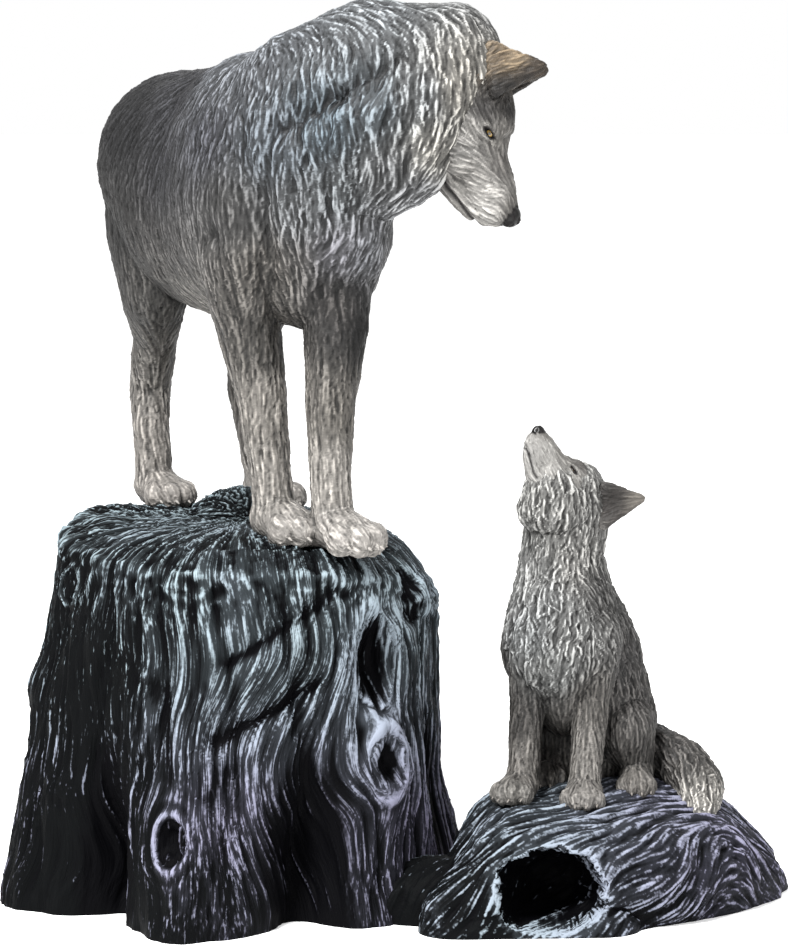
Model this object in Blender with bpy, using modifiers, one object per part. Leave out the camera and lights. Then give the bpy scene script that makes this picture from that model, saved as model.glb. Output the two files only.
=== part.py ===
"""Wolf figurine: a grown wolf on a tree stump looks down at its pup, which sits on a fallen log.

The whole figurine is one casting, so it is modelled as one solid. Each animal, the stump and the
log are roughed out in clay, as balls and tapered lengths between balls, and fused by a voxel
remesh. Hollows are pressed into the clay, and the fused clay is smoothed, thinned out and cut
flat where it stands on the table.
Sizes are in millimetres until the end, where the solid is scaled to metres.
The viewer looks along +Y, +X is to the right and +Z is up.
"""

import math

import bmesh
import bpy
from mathutils import Euler, Matrix, Vector

MM = 0.001

# Sizes of the clay and of the finished solid
BALL_DETAIL = 3
VOXEL = 1.3
SMOOTHING_PASSES = 4
SMOOTHING = 0.5
TRIANGLES = 11600
STUMP_SPOKES = 180
STUMP_RINGS = 56

# Stump
STUMP_HEIGHT = 111.0
STUMP_PLACE = (-43.5, 0.0)
STUMP_HALF_WIDTH = 54.8
STUMP_HALF_DEPTH = 62.0
STUMP_FLARE = 3.0
RIM_DROP = 7.0
RIM_DROP_RIGHT = 17.0
UNDERSIDE = -6.0

# Log, whose height is taken under the pup's forepaws
LOG_HEIGHT = 31.0
LOG_PLACE = (62.0, -24.0)

# Grown wolf, which stands on the stump. Its heading is in degrees to the right of the viewer.
WOLF_PLACE = (STUMP_PLACE[0] + 0.5, STUMP_PLACE[1])
WOLF_HEADING = 22.0
FORE_PAW = (23.0, 17.0, 12.5)
HIND_PAW = (20.0, 15.5, 11.0)
EAR_THICKNESS = 1.9

# Pup, which sits on the log
PUP_PLACE = (LOG_PLACE[0] - 11.0, LOG_PLACE[1] + 10.0)
PUP_HEAD_SCALE = 0.6
PUP_FORE_PAW = (13.5, 12.5, 8.5)
PUP_HIND_PAW = (13.0, 11.5, 8.5)
PUP_EAR_THICKNESS = 2.6

# Roots of the stump: direction in degrees from the viewer's right, reach, spread in degrees and
# the height where the root leaves the trunk
ROOTS = (
    (-160, 19, 20, 120),
    (-126, 5, 7, 80),
    (-104, 15, 13, 72),
    (-58, 9, 15, 66),
    (-24, 7, 12, 60),
    (8, 10, 13, 38),
    (52, 16, 13, 62),
    (100, 15, 15, 70),
    (142, 17, 13, 66),
    (176, 8, 10, 60),
)

# Dents in the side of the stump: direction in degrees, height, half width in degrees, half height
# and depth. A dent with a negative depth is a swelling.
DENTS = (
    # Recesses between the roots
    (-130, 14, 8, 30, 17),
    (-72, 14, 10, 30, 21),
    (-18, 30, 8, 26, 7),
    (33, 24, 9, 24, 12),
    (76, 24, 9, 30, 14),
    (122, 22, 10, 28, 14),
    (160, 26, 8, 26, 11),
    # The large knot hole and its lip
    (-50, 75, 13, 22, -4),
    (-50, 76, 7, 13, 15),
    # The ringed knot, the hollow under the rim and the small hole in the front root
    (-50, 46, 10, 12, -5),
    (-50, 47, 4, 6, 8),
    (-30, 93, 7, 9, 7),
    (-107, 27, 4, 7, 6),
    # The swelling at the viewer's left
    (-166, 64, 14, 9, -3),
)

# Grooves of the grain, which run down the trunk and sway to either side
GROOVES = 19
GROOVE_DEPTH = 2.0
GROOVE_SWAY = 3.0

# Gouges in the side of the stump, each along a line from one direction and height to another, with
# its half width and depth
GOUGES = (
    (-65, 97, -94, 78, 3.2, 2.6),
    (-71, 71, -96, 56, 3.6, 3.4),
    (-95, 47, -98, 40, 6.0, 2.6),
    (-112, 70, -108, 45, 3.0, 1.8),
    (60, 90, 75, 50, 3.6, 2.6),
    (130, 80, 118, 45, 3.6, 2.6),
)

# The mane's main locks and the creases beside them, on the viewer's side of the grown wolf. Each
# runs from one point to another, x and z from where the wolf stands, and has its height.
MANE_HALF_WIDTH = 3.6
MANE = (
    ((-4.6, 124.5), (-2.8, 93.7), 1.2),
    ((5.2, 122.6), (1.8, 85.4), 1.4),
    ((13.2, 111.2), (11.8, 81.1), 1.5),
    ((21.2, 116.9), (19.5, 78.2), 1.5),
    ((29, 122.6), (27.5, 82), 1.5),
    ((36.7, 126), (34.7, 88.3), 1.5),
    ((44.7, 128.3), (41.9, 95.4), 1.5),
    ((52.7, 130.6), (48.7, 99.7), 1.4),
    ((59.6, 131.2), (54.5, 106), 1.2),
    # The crease under the ridge of the neck
    ((12.7, 119.2), (27.5, 128.3), -2.2),
    ((27.5, 128.3), (45.3, 139.2), -2.2),
    # The fold behind the shoulder
    ((-13.2, 112.2), (-10.3, 88.4), -1.2),
    ((-10.3, 88.4), (-1.3, 64.6), -1.2),
)


def heading_frame(place, height, heading):
    """The frame of an animal that stands at place and looks heading degrees right of the viewer."""
    turn = Euler((0, 0, math.radians(heading - 90))).to_matrix().to_4x4()
    return Matrix.Translation((*place, height)) @ turn


def aimed_frame(place, forward, up):
    """The frame of a head at place, with x along the muzzle, y to its left and z through its crown."""
    x = Vector(forward).normalized()
    y = Vector(up).cross(x).normalized()
    z = x.cross(y)
    turn = Matrix((x, y, z)).transposed().to_4x4()
    return Matrix.Translation(place) @ turn


def ball(bm, centre, radii, frame):
    """Adds one ellipsoid of clay."""
    shape = frame @ Matrix.Translation(centre) @ Matrix.Diagonal((*radii, 1))
    bmesh.ops.create_icosphere(bm, subdivisions=BALL_DETAIL, radius=1, matrix=shape)


def wrapped(bm, balls, frame):
    """Adds the convex hull of some balls, as if clay was stretched over them."""
    piece = bmesh.new()
    for centre, radii in balls:
        ball(piece, centre, radii, frame)
    hull = bmesh.ops.convex_hull(piece, input=piece.verts[:])
    bmesh.ops.delete(piece, geom=hull["geom_interior"], context="VERTS")
    skin = set(hull["geom"])
    bmesh.ops.delete(piece, geom=[f for f in piece.faces if f not in skin], context="FACES")
    copy = bpy.data.meshes.new("wrapped")
    piece.to_mesh(copy)
    piece.free()
    bm.from_mesh(copy)
    bpy.data.meshes.remove(copy)


def limb(bm, stations, frame):
    """Adds a tapered length of clay from each ball to the next."""
    for pair in zip(stations, stations[1:]):
        wrapped(bm, pair, frame)


def paw(bm, heel, size, turn, frame):
    """Adds a paw with four toes. The heel is a point on the ground under the ankle."""
    length, width, height = size
    foot = frame @ Matrix.Translation(heel) @ Matrix.Rotation(math.radians(turn), 4, "Z")
    half = width / 2
    wrapped(
        bm,
        [
            ((0, 0, height * 0.55), (half * 0.8, half * 0.82, height * 0.55)),
            ((length * 0.4, 0, height * 0.42), (half * 0.8, half * 0.9, height * 0.44)),
        ],
        foot,
    )
    for side, reach in ((-0.68, 0.52), (-0.24, 0.7), (0.24, 0.7), (0.68, 0.52)):
        toe = (length * reach, side * half * 1.08, height * 0.34)
        ball(bm, toe, (length * 0.22, half * 0.34, height * 0.37), foot)


def ear(bm, outer, spine, inner, tip, thickness, frame):
    """Adds an ear as two leaves that meet along its spine, with a hollow in front of them."""
    thick = (thickness,) * 3
    fine = (thickness * 0.7,) * 3
    for edge in (outer, inner):
        wrapped(bm, [(edge, fine), (spine, thick), (tip, fine)], frame)


def wolf_head(bm, frame):
    """Adds a head without its ears, 31 from the skull's centre to the nose."""
    wrapped(bm, [((-10, 0, -2), (11, 12, 10)), ((-1, 0, -2), (10, 12, 10.4))], frame)
    for side in (-1, 1):
        wrapped(
            bm,
            [
                ((-3, side * 5.5, -8), (9, 6.5, 9)),
                ((9, side * 4, -8.5), (6.5, 4.4, 7.5)),
            ],
            frame,
        )
        ball(bm, (2.2, side * 5.2, 3.6), (4.6, 3.4, 4), frame)
    limb(
        bm,
        [
            ((4, 0, -1.5), (8, 8, 7.5)),
            ((11, 0, -4), (6, 6.4, 7.8)),
            ((21, 0, -2.8), (5, 5.4, 7.4)),
            ((27.6, 0, -1.8), (3.6, 4.8, 6)),
        ],
        frame,
    )
    ball(bm, (29.8, 0, 1.8), (2.4, 3, 2.7), frame)
    limb(
        bm,
        [
            ((2, 0, -15), (8, 6.5, 6)),
            ((14, 0, -13.6), (5.5, 5, 4.6)),
            ((26, 0, -8.4), (3, 3.4, 2.4)),
        ],
        frame,
    )


def grown_wolf(bm):
    body = heading_frame(WOLF_PLACE, STUMP_HEIGHT, WOLF_HEADING)
    # Trunk, from the rump to the chest
    limb(
        bm,
        [
            ((-45.5, -5, 106), (20, 27, 28)),
            ((-30, -5, 99), (20, 26, 35.5)),
            ((-12, -1, 98.5), (20, 25, 38)),
            ((8, 0, 101), (20, 26, 40)),
            ((24, 1, 97), (18, 26, 35)),
        ],
        body,
    )
    # Forelegs
    for shoulder, elbow, middle, wrist, heel in (
        ((24, -13, 86), (23, -9, 62), (26, -6, 42), (29, -4.4, 19), (30, -3.6, -1.5)),
        ((34, 14, 84), (40, 12, 62), (43, 9.2, 42), (46, 7.8, 19), (47.5, 8, -2.5)),
    ):
        limb(
            bm,
            [
                (shoulder, (14, 11, 20)),
                (elbow, (9.5, 9.2, 12)),
                (middle, (7.4, 7.2, 8)),
                (wrist, (5.8, 5.8, 6)),
                ((heel[0], heel[1], 8), (5.8, 6, 4)),
            ],
            body,
        )
        paw(bm, heel, FORE_PAW, 14, body)
    # Hind legs
    for hip, knee, shank, hock, ankle, heel in (
        (
            (-45, -16, 90),
            (-42, -16, 68),
            (-51, -12.6, 53),
            (-58, -12, 37),
            (-54, -13.4, 24),
            (-52, -13, 0),
        ),
        (
            (-36, 13, 92),
            (-26, 14, 70),
            (-35, 13.4, 53),
            (-42, 14.4, 37),
            (-38, 15, 24),
            (-35, 17, 0),
        ),
    ):
        limb(
            bm,
            [
                (hip, (19, 13, 24)),
                (knee, (12, 10, 13)),
                (shank, (8, 6.4, 8)),
                (hock, (6.6, 6.2, 7)),
                (ankle, (5.4, 5.4, 6)),
                ((heel[0], heel[1], 9), (5.4, 5.6, 5)),
            ],
            body,
        )
        paw(bm, heel, HIND_PAW, 10, body)
    # Tail, which hangs to the hock
    limb(
        bm,
        [
            ((-62, -3, 116), (8, 7, 8)),
            ((-72, -4, 98), (7, 7.5, 9)),
            ((-75, -5, 76), (7, 7.5, 9)),
            ((-73, -5, 56), (6, 6.5, 8)),
            ((-70, -5, 42), (3, 3, 4)),
        ],
        body,
    )
    # Neck and ruff, which turn to the viewer's right
    rise = Matrix.Translation((*WOLF_PLACE, STUMP_HEIGHT))
    limb(
        bm,
        [
            ((6, -14, 106), (25, 24, 33)),
            ((20, -26, 117), (25, 23, 31.5)),
            ((36, -34, 124.5), (22, 21, 31.5)),
            ((48, -38, 127), (17, 18, 27.5)),
            ((59.5, -40, 135), (15, 15, 20)),
        ],
        rise,
    )
    wrapped(bm, [((22, -27, 100), (21, 20, 22)), ((24, -28, 88), (18, 19, 20))], rise)
    wrapped(bm, [((24, -28, 88), (18, 19, 18)), ((20, -24, 74), (17, 17, 14))], rise)
    wrapped(bm, [((23, -28, 100), (18, 19, 18)), ((42, -38, 119), (12, 15, 11))], rise)
    head = rise @ aimed_frame((69.4, -42, 122.8), (0.18, -0.1, -0.98), (0.98, -0.06, 0.18))
    wolf_head(bm, head)
    for side in (-1, 1):
        ear(
            bm,
            (-5.5, side * 12, 4),
            (-18.5, side * 8.5, 5),
            (-8, side * 3.5, 7),
            (-10.6, side * 9.5, 18.4),
            EAR_THICKNESS,
            head,
        )


def pup(bm):
    rise = Matrix.Translation((*PUP_PLACE, LOG_HEIGHT))
    limb(
        bm,
        [
            ((7, 14, 18), (21, 17, 22)),
            ((5.5, 8, 40), (17, 15, 19)),
            ((-0.5, 1, 57), (14.5, 13.5, 15)),
            ((-1, 1, 72), (11.4, 11.5, 12)),
            ((1, 1, 84), (11.5, 11, 11)),
        ],
        rise,
    )
    wrapped(bm, [((-2.4, -3, 44), (16.6, 14, 17)), ((-1, -1, 57), (15, 13.5, 13))], rise)
    wrapped(bm, [((-2, -3, 44), (13, 13, 15)), ((0, 0, 28), (9, 10, 10))], rise)
    # Forelegs
    for shoulder, elbow, wrist, heel, turn in (
        ((-10.5, -5, 46), (-11.4, -6, 31), (-12.4, -11, 11), (-13, -12.5, 0.6), -118),
        ((9, -6, 46), (7.8, -6, 30), (5.8, -13, 11), (5.4, -15, -0.6), -98),
    ):
        limb(
            bm,
            [
                (shoulder, (7, 8, 12)),
                (elbow, (5.2, 5.6, 8)),
                (wrist, (4.5, 4.5, 5)),
                ((heel[0], heel[1], 5), (4.6, 4.8, 4)),
            ],
            rise,
        )
        paw(bm, heel, PUP_FORE_PAW, turn, rise)
    # Hind legs, folded
    for hip, knee, shank, heel in (
        ((13, 14, 19), (18.5, 2, 18), (21.4, 4, 8), (21.4, -1, 0.4)),
        ((0, 16, 18), (-4, 6, 17), (-5, 8, 8), (-5.5, 5, 1.6)),
    ):
        limb(
            bm,
            [
                (hip, (14, 14, 17)),
                (knee, (8.4, 8.4, 10)),
                (shank, (5.4, 6, 6)),
                ((heel[0], heel[1], 5), (5, 6, 4)),
            ],
            rise,
        )
        paw(bm, heel, PUP_HIND_PAW, -92, rise)
    # Tail, which curls round on the log
    limb(
        bm,
        [
            ((16, 26, 8), (7, 7, 8)),
            ((27, 17, 10), (7, 7.5, 7.5)),
            ((36, 8, 7), (6.6, 7, 7.5)),
            ((41, 0, 1), (6.2, 6.6, 7.5)),
            ((40, -8, -5), (4, 4, 4.6)),
        ],
        rise,
    )
    head = rise @ aimed_frame((1.3, -3, 96), (-0.6, -0.3, 0.75), (0.67, 0.32, 0.67))
    small = head @ Matrix.Scale(PUP_HEAD_SCALE, 4)
    wolf_head(bm, small)
    limb(bm, [((0, 0, 86), (12, 11, 8)), ((1, -1, 92), (10, 9, 8))], rise)
    wrapped(bm, [((-3, -4, 86), (11, 9, 7)), ((-4, -6, 92), (8, 7, 7))], rise)
    for side in (-1, 1):
        ear(
            bm,
            (-25, side * 14, -8),
            (-20, side * 8, 2),
            (-11.5, side * 10, 7),
            (-29, side * 16, 16),
            PUP_EAR_THICKNESS,
            small,
        )


def bell(distance, spread):
    return math.exp(-((distance / spread) ** 2))


def turned(angle, centre):
    """The angle from centre to angle in degrees, from -180 to 180."""
    return (angle - centre + 180) % 360 - 180


def line_gap(point, start, end):
    """How far a flat point is from the line between start and end."""
    start = Vector(start)
    way = Vector(end) - start
    away = Vector(point) - start
    share = min(max(away.dot(way) / way.length_squared, 0), 1)
    return (away - way * share).length


def stump_radius(angle, height):
    """How far the side of the stump is from its middle."""
    along = Vector(
        (
            math.cos(math.radians(angle)) / STUMP_HALF_WIDTH,
            math.sin(math.radians(angle)) / STUMP_HALF_DEPTH,
        )
    )
    radius = 1 / along.length + STUMP_FLARE * (1 - height / STUMP_HEIGHT)
    for direction, reach, spread, top in ROOTS:
        rise = min(max(1 - height / top, 0), 1.1)
        radius += reach * rise**1.25 * bell(turned(angle, direction), spread * (1.35 - 0.35 * rise))
    for direction, level, half_width, half_height, depth in DENTS:
        radius -= (
            depth * bell(turned(angle, direction), half_width) * bell(height - level, half_height)
        )
    arc = math.radians(STUMP_HALF_WIDTH)
    for direction, level, last_direction, last_level, half_width, depth in GOUGES:
        way = (turned(last_direction, direction) * arc, last_level - level)
        gap = line_gap((turned(angle, direction) * arc, height - level), (0, 0), way)
        radius -= depth * bell(gap, half_width)
    sway = GROOVE_SWAY * math.sin(height / 17 + math.radians(angle) * 3)
    radius -= GROOVE_DEPTH * max(math.cos(math.radians((angle + sway) * GROOVES)), 0) ** 2
    return radius


def rim_height(angle):
    """The height of the rim, which is lowest at the right and level with the top at the back."""
    right = bell(turned(angle, 20), 55)
    back = bell(turned(angle, 150), 50)
    return STUMP_HEIGHT - RIM_DROP * (1 - back) - RIM_DROP_RIGHT * right


def stump(bm):
    """Adds the stump as rings of its outline, from the ground to the rim and in over the top."""
    rings = []
    for ring in range(STUMP_RINGS + 1):
        share = ring / STUMP_RINGS
        points = []
        for spoke in range(STUMP_SPOKES):
            angle = 360 * spoke / STUMP_SPOKES
            height = UNDERSIDE + share * (rim_height(angle) - UNDERSIDE)
            points.append((angle, stump_radius(angle, height), height))
        rings.append(points)
    rim = rings[-1]
    for share in (0.93, 0.84, 0.7, 0.45, 0.2):
        drop = share**6
        rings.append(
            [(a, r * share, STUMP_HEIGHT - (STUMP_HEIGHT - z) * drop) for a, r, z in rim]
        )
    loops = []
    for points in rings:
        loops.append(
            [
                bm.verts.new(
                    (
                        STUMP_PLACE[0] + r * math.cos(math.radians(a)),
                        STUMP_PLACE[1] + r * math.sin(math.radians(a)),
                        z,
                    )
                )
                for a, r, z in points
            ]
        )
    for lower, upper in zip(loops, loops[1:]):
        for i in range(STUMP_SPOKES):
            j = (i + 1) % STUMP_SPOKES
            bm.faces.new((lower[i], lower[j], upper[j], upper[i]))
    bm.faces.new(loops[0][::-1])
    bm.faces.new(loops[-1])
    # Knobs on the rim and the swirl of wood on the top
    top = Matrix.Translation((*STUMP_PLACE, STUMP_HEIGHT))
    ball(bm, (14 - STUMP_HALF_WIDTH, -2, -RIM_DROP), (11, 16, 8), top)
    ball(bm, (-2, 14, -3), (17, 14, 11), top)
    ball(bm, (STUMP_HALF_WIDTH - 11, -14, -21), (10, 14, 9), top)


def fallen_log(bm):
    frame = Matrix.Translation((*LOG_PLACE, 0))
    crest = LOG_HEIGHT - 31
    # Each section is a ball at the front and one at the back
    sections = (
        (((-46, -38, 1), (9, 9, 11)), ((-40, -20, 4), (8, 10, 12))),
        (((-27, -26, 12 + crest), (16, 18, 17.5)), ((-26, 6, 14 + crest), (16, 18, 20))),
        (((-8, -23, 11.5 + crest), (18, 20, 18.5)), ((-8, 16, 16 + crest), (18, 20, 20.5))),
        (((12, -16, 11 + crest), (18, 20, 18.5)), ((12, 18, 15 + crest), (18, 20, 20.5))),
        (((30, -2, 8 + crest), (16, 18, 18)), ((30, 18, 11 + crest), (16, 18, 18))),
        (((46, 12, 2), (9, 13, 12)), ((46, 26, 2), (9, 13, 12))),
    )
    for near, far in zip(sections, sections[1:]):
        wrapped(bm, near + far, frame)
    # The front edge on the table
    wrapped(bm, [((-44, -38, 0), (10, 10, 10)), ((-4, -34, -2), (14, 12, 12))], frame)
    wrapped(bm, [((-4, -34, -2), (12, 12, 12)), ((46, 20, -4), (10, 12, 10))], frame)
    # The root at the right end
    limb(bm, [((36, 2, 14), (8, 12, 8)), ((48, 12, 5), (7, 10, 7)), ((54, 26, -4), (5, 8, 6))], frame)
    # The root that ties the log to the stump
    foot = (STUMP_PLACE[0] + STUMP_HALF_WIDTH - LOG_PLACE[0] - 15, -16, 2)
    limb(bm, [(foot, (12, 12, 12)), ((-46, -20, 5), (10, 15, 13))], frame)


# Hollows pressed into the fused clay: the middle and radii of the ball that makes the hollow, and
# the direction it is pressed in
HOLLOWS = (((LOG_PLACE[0] - 17, LOG_PLACE[1] - 48, 12), (14.5, 34, 13), (0, 1, 0)),)


def fused(mesh, collection):
    """A copy of the mesh with all its clay fused to one skin."""
    block = bpy.data.objects.new("clay", mesh)
    collection.objects.link(block)
    fuse = block.modifiers.new("fuse", "REMESH")
    fuse.mode = "VOXEL"
    fuse.voxel_size = VOXEL
    fuse.adaptivity = 0
    graph = bpy.context.evaluated_depsgraph_get()
    result = bpy.data.meshes.new_from_object(block.evaluated_get(graph))
    bpy.data.objects.remove(block)
    return result


def press_hollows(mesh):
    """Moves the skin that lies in a hollow along the hollow's direction, to its far side."""
    for centre, radii, direction in HOLLOWS:
        centre = Vector(centre)
        scale = Vector(1 / r for r in radii)
        way = Vector(direction) * scale
        for vertex in mesh.vertices:
            place = (vertex.co - centre) * scale
            if place.length_squared < 1:
                a = way.length_squared
                b = place.dot(way)
                step = (-b + math.sqrt(b * b - a * (place.length_squared - 1))) / a
                vertex.co += Vector(direction) * step


def comb_mane(mesh):
    """Raises the main locks of the mane and sinks the creases beside them."""
    for vertex in mesh.vertices:
        side = -vertex.normal.y
        spot = (vertex.co.x - WOLF_PLACE[0], vertex.co.z - STUMP_HEIGHT)
        if side > 0 and spot[1] > 50:
            push = sum(
                height * bell(line_gap(spot, start, end), MANE_HALF_WIDTH)
                for start, end, height in MANE
            )
            vertex.co += vertex.normal * push * min(side * 2, 1)


def cut_flat(bm):
    """Cuts off what lies under the table and closes the cut."""
    geom = bm.verts[:] + bm.edges[:] + bm.faces[:]
    bmesh.ops.bisect_plane(
        bm, geom=geom, dist=0.01, plane_co=(0, 0, 0), plane_no=(0, 0, -1), clear_outer=True
    )
    for vertex in bm.verts:
        if abs(vertex.co.z) < 0.05:
            vertex.co.z = 0
    bmesh.ops.holes_fill(bm, edges=[e for e in bm.edges if e.is_boundary], sides=0)
    bmesh.ops.triangulate(bm, faces=bm.faces[:])


def centre_footprint(bm):
    """Moves the solid so that the middle of its footprint is the origin."""
    low = [min(v.co[axis] for v in bm.verts) for axis in (0, 1)]
    high = [max(v.co[axis] for v in bm.verts) for axis in (0, 1)]
    shift = [-(a + b) / 2 for a, b in zip(low, high)]
    bmesh.ops.translate(bm, verts=bm.verts[:], vec=(*shift, 0))


def painted_resin():
    material = bpy.data.materials.new("casting")
    material.use_nodes = True
    shader = material.node_tree.nodes["Principled BSDF"]
    shader.inputs["Base Color"].default_value = (0.2, 0.2, 0.22, 1)
    shader.inputs["Roughness"].default_value = 0.6
    return material


def main():
    for old in list(bpy.data.objects):
        bpy.data.objects.remove(old)
    bm = bmesh.new()
    for form in (stump, fallen_log, grown_wolf, pup):
        form(bm)
    clay = bpy.data.meshes.new("clay")
    bm.to_mesh(clay)
    bm.free()
    collection = bpy.data.collections.new("Wolf figurine")
    bpy.context.scene.collection.children.link(collection)
    skin = fused(clay, collection)
    comb_mane(skin)
    press_hollows(skin)
    skin = fused(skin, collection)
    figurine = bpy.data.objects.new("wolf_figurine", skin)
    collection.objects.link(figurine)
    smooth = figurine.modifiers.new("smooth", "SMOOTH")
    smooth.factor = SMOOTHING
    smooth.iterations = SMOOTHING_PASSES
    thin = figurine.modifiers.new("thin", "DECIMATE")
    thin.ratio = TRIANGLES / (2 * len(skin.polygons))
    graph = bpy.context.evaluated_depsgraph_get()
    bm = bmesh.new()
    bm.from_object(figurine, graph)
    cut_flat(bm)
    centre_footprint(bm)
    bm.transform(Matrix.Scale(MM, 4))
    figurine.modifiers.clear()
    solid = bpy.data.meshes.new("wolf_figurine")
    bm.to_mesh(solid)
    bm.free()
    solid.materials.append(painted_resin())
    figurine.data = solid
    for unused in [m for m in bpy.data.meshes if not m.users]:
        bpy.data.meshes.remove(unused)


main()
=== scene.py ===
"""Painted resin figurine of a grown wolf on a tree stump, which looks down at its pup on a fallen log.

Each animal, the stump and the log are roughed out in clay, as balls and tapered lengths between
balls, and fused to one skin. The skins are then carved: fur lies in locks along the way the hair
grows, and wood grain flows round the knots. Last comes the paint, with a dark wash in the creases
and a light dry brush on the ridges. Painted shade darkens the holes and recesses of the wood, the
folds of the mane and a few places on the coats, and painted light and shade make the wood lighter
on its lit side and darker on the other.
Sizes are in millimetres until a piece is finished, and the finished pieces are in metres.
The viewer looks along +Y, +X is to the right and +Z is up.
"""

import logging
import math
from dataclasses import dataclass, field
from enum import Enum
from typing import Any, ClassVar, Iterator, Sequence

import bmesh
import bpy
import numpy as np
from mathutils import Euler, Matrix, Vector, kdtree


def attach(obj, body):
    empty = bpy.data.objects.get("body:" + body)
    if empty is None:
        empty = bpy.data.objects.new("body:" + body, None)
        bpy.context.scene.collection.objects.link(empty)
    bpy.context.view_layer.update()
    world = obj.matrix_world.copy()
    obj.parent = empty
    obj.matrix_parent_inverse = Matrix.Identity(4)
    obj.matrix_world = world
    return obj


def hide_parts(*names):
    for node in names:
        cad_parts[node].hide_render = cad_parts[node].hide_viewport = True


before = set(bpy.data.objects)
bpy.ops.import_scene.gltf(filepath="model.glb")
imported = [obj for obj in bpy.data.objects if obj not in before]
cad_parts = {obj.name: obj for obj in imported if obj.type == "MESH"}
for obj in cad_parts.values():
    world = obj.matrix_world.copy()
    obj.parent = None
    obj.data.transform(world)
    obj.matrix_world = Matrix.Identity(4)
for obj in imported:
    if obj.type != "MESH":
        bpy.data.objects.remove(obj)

log = logging.getLogger("wolf_figurine")

MM = 0.001
# The footprint's middle, which is the table's origin, lies here in the sizes below
MIDDLE = Vector((1.349, 0.108, 0.0))
# How much darker a coat's paint is than it looks under the lights
UNDER_LIGHT = 0.24
# Large numbers without a pattern, which scatter the directions of the noise
SCATTER = (374761393, 668265263, 1440662683, 974634777, 1274126177)
# How finely each ball of clay is rounded
BALL_DETAIL = 3
# How many strands of fur there are to a face of the skin
STRANDS = 0.42
# The toes of a paw: how far to its side, in half widths, and how far forward, in lengths
TOES = ((-0.68, 0.52), (-0.24, 0.7), (0.24, 0.7), (0.68, 0.52))

Triple = tuple[float, float, float]
Ball = tuple[Triple, Triple]
TuftRow = tuple[Triple, Triple, float, str]


class Side(Enum):
    """The two sides of an animal."""

    RIGHT = -1
    LEFT = 1


def linear(code: str) -> Triple:
    """Turns a paint's display code, such as 8a8f94, into linear light."""
    shares = [int(code[i : i + 2], 16) / 255 for i in (0, 2, 4)]
    return tuple(s / 12.92 if s <= 0.04045 else ((s + 0.055) / 1.055) ** 2.4 for s in shares)


def unit(values: np.ndarray) -> np.ndarray:
    """Scales each row of an array to a length of one."""
    return values / np.maximum(np.linalg.norm(values, axis=1, keepdims=True), 1e-9)


def bell(distance: np.ndarray | float, spread: float) -> np.ndarray:
    """A smooth hump, one high at no distance."""
    return np.exp(-((np.asarray(distance) / spread) ** 2))


def smooth(values: np.ndarray, low: float, high: float) -> np.ndarray:
    """Rises smoothly from nought at low to one at high."""
    share = np.clip((values - low) / (high - low), 0, 1)
    return share * share * (3 - 2 * share)


def line_gap(spots: np.ndarray, start: Sequence[float], end: Sequence[float]) -> np.ndarray:
    """How far each flat point is from the line between start and end."""
    way = np.array(end, float) - start
    away = spots - np.array(start, float)
    share = np.clip(away @ way / (way @ way), 0, 1)
    return np.linalg.norm(away - share[:, None] * way, axis=1)


def evened(values: np.ndarray) -> np.ndarray:
    """Scales values so that most lie between minus one and one."""
    return np.clip(values / (2.2 * values.std() + 1e-9), -1.5, 1.5)


def noise(points: np.ndarray, seed: int = 0) -> np.ndarray:
    """Smooth noise between about -1 and 1, with one swell in each unit of space.

    Args:
        points: The places to read, one row each.
        seed: Picks one of the noise fields.

    Returns:
        One value for each row.
    """
    cell = np.floor(points).astype(np.int64)
    part = points - cell
    fade = part**3 * (part * (part * 6 - 15) + 10)
    total = np.zeros(len(points))
    for corner in range(8):
        step = np.array((corner & 1, corner >> 1 & 1, corner >> 2 & 1))
        at = cell + step
        mixed = at @ np.array(SCATTER[:3]) + seed * SCATTER[3]
        mixed = (mixed ^ (mixed >> 13)) * SCATTER[4]
        mixed = mixed ^ (mixed >> 16)
        turn = (mixed & 1023) * (2 * math.pi / 1024)
        tilt = ((mixed >> 10) & 1023) / 511.5 - 1
        flat = np.sqrt(1 - tilt * tilt)
        away = part - step
        slope = away[:, 0] * flat * np.cos(turn) + away[:, 1] * flat * np.sin(turn) + away[:, 2] * tilt
        share = np.where(step == 1, fade, 1 - fade).prod(axis=1)
        total += share * slope
    return total * 1.5


def standing(place: Sequence[float], height: float, heading: float) -> Matrix:
    """The frame of an animal that stands at place and looks heading degrees right of the viewer."""
    turn = Euler((0, 0, math.radians(heading - 90))).to_matrix().to_4x4()
    return Matrix.Translation((*place, height)) @ turn


def aimed(place: Triple, forward: Triple, up: Triple) -> Matrix:
    """The frame of a head, with x along the muzzle, y to its left and z through its crown."""
    x = Vector(forward).normalized()
    y = Vector(up).cross(x).normalized()
    z = x.cross(y)
    return Matrix.Translation(place) @ Matrix((x, y, z)).transposed().to_4x4()


def set_down(bm: bmesh.types.BMesh) -> None:
    """Moves a shape to its place on the table and scales it to metres."""
    bmesh.ops.translate(bm, verts=bm.verts[:], vec=-MIDDLE)
    bmesh.ops.scale(bm, verts=bm.verts[:], vec=(MM, MM, MM))


def linked(name: str, data: Any) -> bpy.types.Object:
    """Puts a mesh, a lamp or a camera into the scene."""
    thing = bpy.data.objects.new(name, data)
    bpy.context.scene.collection.objects.link(thing)
    return thing


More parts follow.
